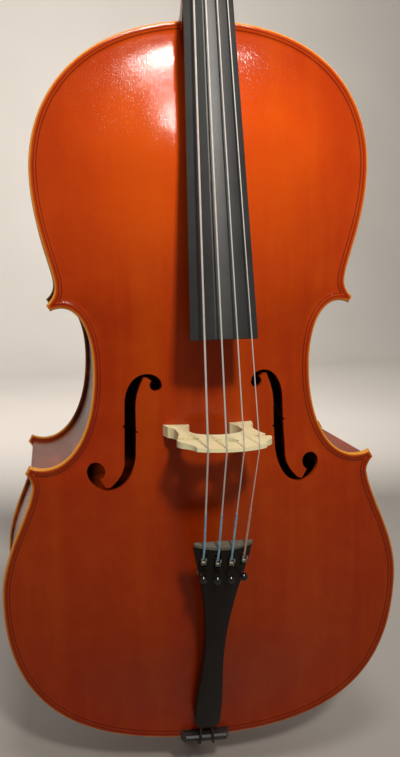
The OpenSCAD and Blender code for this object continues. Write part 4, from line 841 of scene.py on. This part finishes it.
def shell_faces(tris, n):
    """A sheet of triangles, the same sheet n points later turned over, and walls round the rims.

    A side that only one triangle has belongs to a rim.
    """
    sides = np.vstack([tris[:, [0, 1]], tris[:, [1, 2]], tris[:, [2, 0]]])
    _, first, count = np.unique(np.sort(sides, axis=1), axis=0, return_index=True, return_counts=True)
    rim = sides[first[count == 1]]
    walls = np.column_stack([rim[:, 1], rim[:, 0], rim[:, 0] + n, rim[:, 1] + n])
    return tris.tolist() + (tris[:, ::-1] + n).tolist() + walls.tolist()


# %% Shape a plate
HALF_RIB = 59.0  # half the height of the ribs, which carry both plates
LIFT = 55.5  # the body's bottom edge above the floor
GLUED_TO, HOLLOW_FROM = 9, 16  # the shell grows from none to its full hollow between these distances
TAB_RIM, TAB_OUTSIDE, TAB_INSIDE = 3.5, 3.8, 3.7  # limits that keep the inlay off the button


def plate(name, node, finish, slot, rise, thick, side, cuts=(), tab=None):
    """A plate over the ribs; side is -1 for the front and 1 for the back, tab an added outline."""
    cuts = list(cuts)
    solids = [OUTLINE] if tab is None else [OUTLINE, tab]
    points = scatter(OUTLINE, cuts + solids[1:])
    if tab is not None:
        fill = lattice(1.5, tab.min(0), tab.max(0))
        fill = fill[(edge_distance(fill, tab) > 0.8) & (np.abs(edge_distance(fill, OUTLINE)) > 0.8)]
        points = np.vstack([points[edge_distance(points, tab) < 0], fill])
    flat, tris = triangles_over(points, solids, cuts)
    from_edge = edge_distance(flat, OUTLINE)
    from_rim = np.max([edge_distance(flat, loop) for loop in solids], axis=0)
    z = plate_height(flat, np.maximum(from_edge, 0), np.maximum(from_rim, 0), rise)
    z_in = np.maximum(z - thick, 0) * smooth(GLUED_TO, HOLLOW_FROM, from_edge)
    sheets = [np.column_stack([flat[:, 0], side * (HALF_RIB + height), LIFT + flat[:, 1]])
              for height in (z, z_in)]
    faces = shell_faces(tris, len(flat))
    if side > 0:
        faces = [f[::-1] for f in faces]
    on_tab = (from_edge < TAB_RIM) & (from_rim > from_edge)
    edge = np.where(on_tab, np.minimum(from_rim, TAB_OUTSIDE), from_edge)
    edge = np.concatenate([edge, np.minimum(edge, TAB_INSIDE)])
    return make(name, np.vstack(sheets), faces, finish, slot, node, smooth_below=50, edge=edge)


# %% [markdown]
# ## Front
# The front has the two sound holes, and it is cut away for the saddle at the foot and for the neck.
# Booleans could cut the finished shell, but loops that are given to the triangulation leave clean
# edges, walls and all.

# %% Make the front
SADDLE_CUT = (27, -6, 9)  # half width, and lower and upper end
NECK_CUT = (21.5, BODY - 11.6, BODY + 7)


def box_loop(x, low, high, step=4.0):
    """A rectangle about the centre line, with points along its sides."""
    n, m = int(2 * x / step), int((high - low) / step) + 1
    return np.vstack([straight((-x, low), (x, low), n), straight((x, low), (x, high), m),
                      straight((x, high), (-x, high), n), straight((-x, high), (-x, low), m)])


top_cuts = sound_holes + [box_loop(*SADDLE_CUT), box_loop(*NECK_CUT)]
plate("top_arched", "top_plate", TOP, "spruce_top", 25.0, 4.5, -1, top_cuts)

# %% [markdown]
# ## Back
# The back runs up into the button, the small half disc that holds the neck's heel. A separate disc
# could be laid on it, but on a real cello both are one piece of wood. So the button's outline is
# joined to that of the plate before the triangles are made, and the inlaid lines are kept off it.

# %% Make the back
BUTTON_R, BUTTON_FOOT, BUTTON_TOP = 14.5, BODY - 8, BODY + 5.5


def button_loop(r, foot, top):
    """The button: a half disc on a short straight strip that reaches into the plate."""
    return np.vstack([circle(0, top, r)[:21], straight((-r, top), (-r, foot), 5),
                      straight((-r, foot), (r, foot), 10), straight((r, foot), (r, top), 5)])


button = button_loop(BUTTON_R, BUTTON_FOOT, BUTTON_TOP)
plate("back_arched", "back_plate", BACK, "maple_body", 26.0, 5.0, 1, tab=button)

# %% [markdown]
# ## Ribs
# The ribs are thin maple strips, bent over a hot iron and glued to the blocks, three to a side. They
# could be extruded from the outline, but the plates stand out over them, and at the corners an inset
# line would cross itself. So each point moves in along its normal, and the few points that come too
# near to another stretch of the edge are dropped.

# %% Bend the ribs
OVERHANG, RIB_THICK = 4.5, 1.8  # how far the plates stand out, and the strips' thickness
CORNER_IN = 6  # a strip ends this far inside its corner


def grid_faces(rows, cols, close_cols=False):
    """Four-sided faces over a grid of points numbered row by row."""
    r = np.arange(rows - 1)[:, None]
    c = np.arange(cols if close_cols else cols - 1)[None, :]
    r2, c2 = r + 1, (c + 1) % cols
    corners = [r * cols + c, r * cols + c2, r2 * cols + c2, r2 * cols + c]
    return np.stack(corners, axis=-1).reshape(-1, 4)


def rib_path(side):
    """Points of one side's ribs from bottom to top, drawn in by the overhang, with their normals."""
    half = OUTLINE[: len(OUTLINE) // 2 + 1]
    inward = normals(OUTLINE)[: len(half)]
    path = half + inward * OVERHANG
    clear = edge_distance(path, OUTLINE) > OVERHANG - 0.05
    clear[[0, -1]] = True
    return path[clear] * (side, 1), inward[clear] * (side, 1)


def rib(name, path, inward, side):
    """A closed strip: outer face, back edge, inner face and front edge, carried along the path."""
    inner = path + inward * RIB_THICK
    section = ((path, -HALF_RIB), (path, HALF_RIB), (inner, HALF_RIB), (inner, -HALF_RIB))
    lines = [np.column_stack([p[:, 0], np.full(len(p), y), LIFT + p[:, 1]]) for p, y in section]
    faces = grid_faces(len(path), len(section), close_cols=True).tolist()
    last = len(section) * (len(path) - 1)
    faces += [[0, 1, 2, 3], [last + 3, last + 2, last + 1, last]]
    if side < 0:
        faces = [f[::-1] for f in faces]
    points = np.stack(lines, axis=1).reshape(-1, 3)
    return make(name + "_strip", points, faces, MAPLE, "maple_body", name)


def nearest(path, x, h):
    """Number of the point of the path that lies nearest to a place."""
    return np.argmin(np.hypot(path[:, 0] - x, path[:, 1] - h))


for side, word in ((1, "treble"), (-1, "bass")):
    path, inward = rib_path(side)
    lower_end, upper_end = (nearest(path, side * (x - CORNER_IN), h) for x, h in (LOW_CORNER, UP_CORNER))
    spans = (("lower", 0, lower_end), ("waist", lower_end, upper_end), ("upper", upper_end, len(path) - 1))
    for bout, a, b in spans:
        rib(f"rib_{bout}_{word}", path[a : b + 1], inward[a : b + 1], side)

# %% [markdown]
# ## Floor and backdrop
# A pale sheet runs from the floor up into a wall behind, as a roll of studio paper does. Two planes
# would be quicker, but their corner would show as a line behind the cello. A quarter round of 90 cm
# between them fades it out.

# %% Roll out the floor
FLOOR_END, HALF_WIDTH, WALL_TOP = -6000, 7000, 7000
BEND_START, BEND_R = 2600, 900
PAPER_DARK, PAPER_LIGHT = (0.6, 0.56, 0.52), (0.68, 0.64, 0.6)


def sweep():
    """Floor that curves up into a backdrop: a profile in y and z drawn across x."""
    a = np.linspace(0, np.pi / 2, 24)
    bend = np.column_stack([BEND_START + BEND_R * np.sin(a), BEND_R - BEND_R * np.cos(a)])
    profile = np.vstack([[(FLOOR_END, 0)], bend, [(BEND_START + BEND_R, WALL_TOP)]])
    sides = [np.column_stack([np.full(len(profile), x), profile]) for x in (-HALF_WIDTH, HALF_WIDTH)]
    points = np.stack(sides, axis=1).reshape(-1, 3)
    mesh = bpy.data.meshes.new("sweep")
    mesh.from_pydata((points / 1000).tolist(), [], grid_faces(len(profile), 2).tolist())
    mesh.polygons.foreach_set("use_smooth", np.ones(len(mesh.polygons), bool))
    obj = bpy.data.objects.new("sweep", mesh)
    bpy.context.scene.collection.objects.link(obj)
    mat, t, shader, place = material("pale_floor", rough=0.6)
    finish_material(t, shader, mix(t, noise(t, place, 2.0, 3.0), PAPER_DARK, PAPER_LIGHT))
    mesh.materials.append(mat)
    print("floor and backdrop of", len(mesh.polygons), "faces")


sweep()

# %% [markdown]
# ## Light
# Two narrow-beam lamps stand in front, a little above the upper bouts, so that the light falls off
# down the body. One shows only in the varnish, as its highlight, and stands further to the thin
# strings' side. The other only lights the wood, nearly straight on, so that fingerboard and bridge
# cast narrow shadows. One lamp for both jobs would be simpler, but the place that gives the right
# highlight gives too wide a shadow. A softer fill hangs high above the front, and a fourth lamp looks
# away from the cello, at the backdrop, which keeps it pale without more light on the varnish.

# %% Set the lamps
WARM, SOFT, WALL_WHITE = (1.0, 0.94, 0.87), (1.0, 0.95, 0.9), (1.0, 0.96, 0.9)
BEAM = 53  # degrees


def soft_light(name, place, target, size, power, color, spread=180):
    """A square area light that faces a point; spread narrows its beam, as a grid on a softbox does.

    Places and size are in metres. The camera doesn't see the lamp itself. The lamp is returned, so
    that its part in the light can be set.
    """
    light = bpy.data.lights.new(name, "AREA")
    light.size = size
    light.energy = power
    light.color = color
    light.spread = math.radians(spread)
    obj = bpy.data.objects.new(name, light)
    bpy.context.scene.collection.objects.link(obj)
    obj.location = place
    obj.rotation_mode = "QUATERNION"
    obj.rotation_quaternion = (Vector(target) - Vector(place)).to_track_quat("-Z", "Y")
    obj.visible_camera = False
    return obj


shine = soft_light("shine", (0.165, -1.12, 1.43), (0.09, -0.07, 0.74), 0.15, 1.9, WARM, BEAM)
shine.visible_diffuse = False
key = soft_light("key", (0.07, -1.12, 1.43), (0.07, -0.07, 0.76), 0.15, 1.9, WARM, BEAM)
key.visible_glossy = False
soft_light("fill", (-0.1, -0.75, 2.0), (0, -0.07, 0.5), 0.4, 7, SOFT)
soft_light("backdrop_light", (0, 0.9, 1.8), (0, 3.5, 1.5), 2.5, 80, WALL_WHITE)
print(len(bpy.data.lights), "lamps")

# %% [markdown]
# ## The room
# Light that bounces about a room fills the shadows a little. An image of a room wrapped round the
# scene could give that, with windows in the gloss, but it would need a file. One warm grey from all
# sides is even and keeps the highlights where the lamps put them.

# %% Fill the room
ROOM, ROOM_STRENGTH = (0.9, 0.87, 0.83), 0.22
world = bpy.data.worlds.new("room")
bpy.context.scene.world = world
world.use_nodes = True
background = world.node_tree.nodes["Background"].inputs
background["Color"].default_value = (*ROOM, 1)
background["Strength"].default_value = ROOM_STRENGTH
bpy.context.scene.view_settings.view_transform = "Standard"
print("room light of", ROOM_STRENGTH)
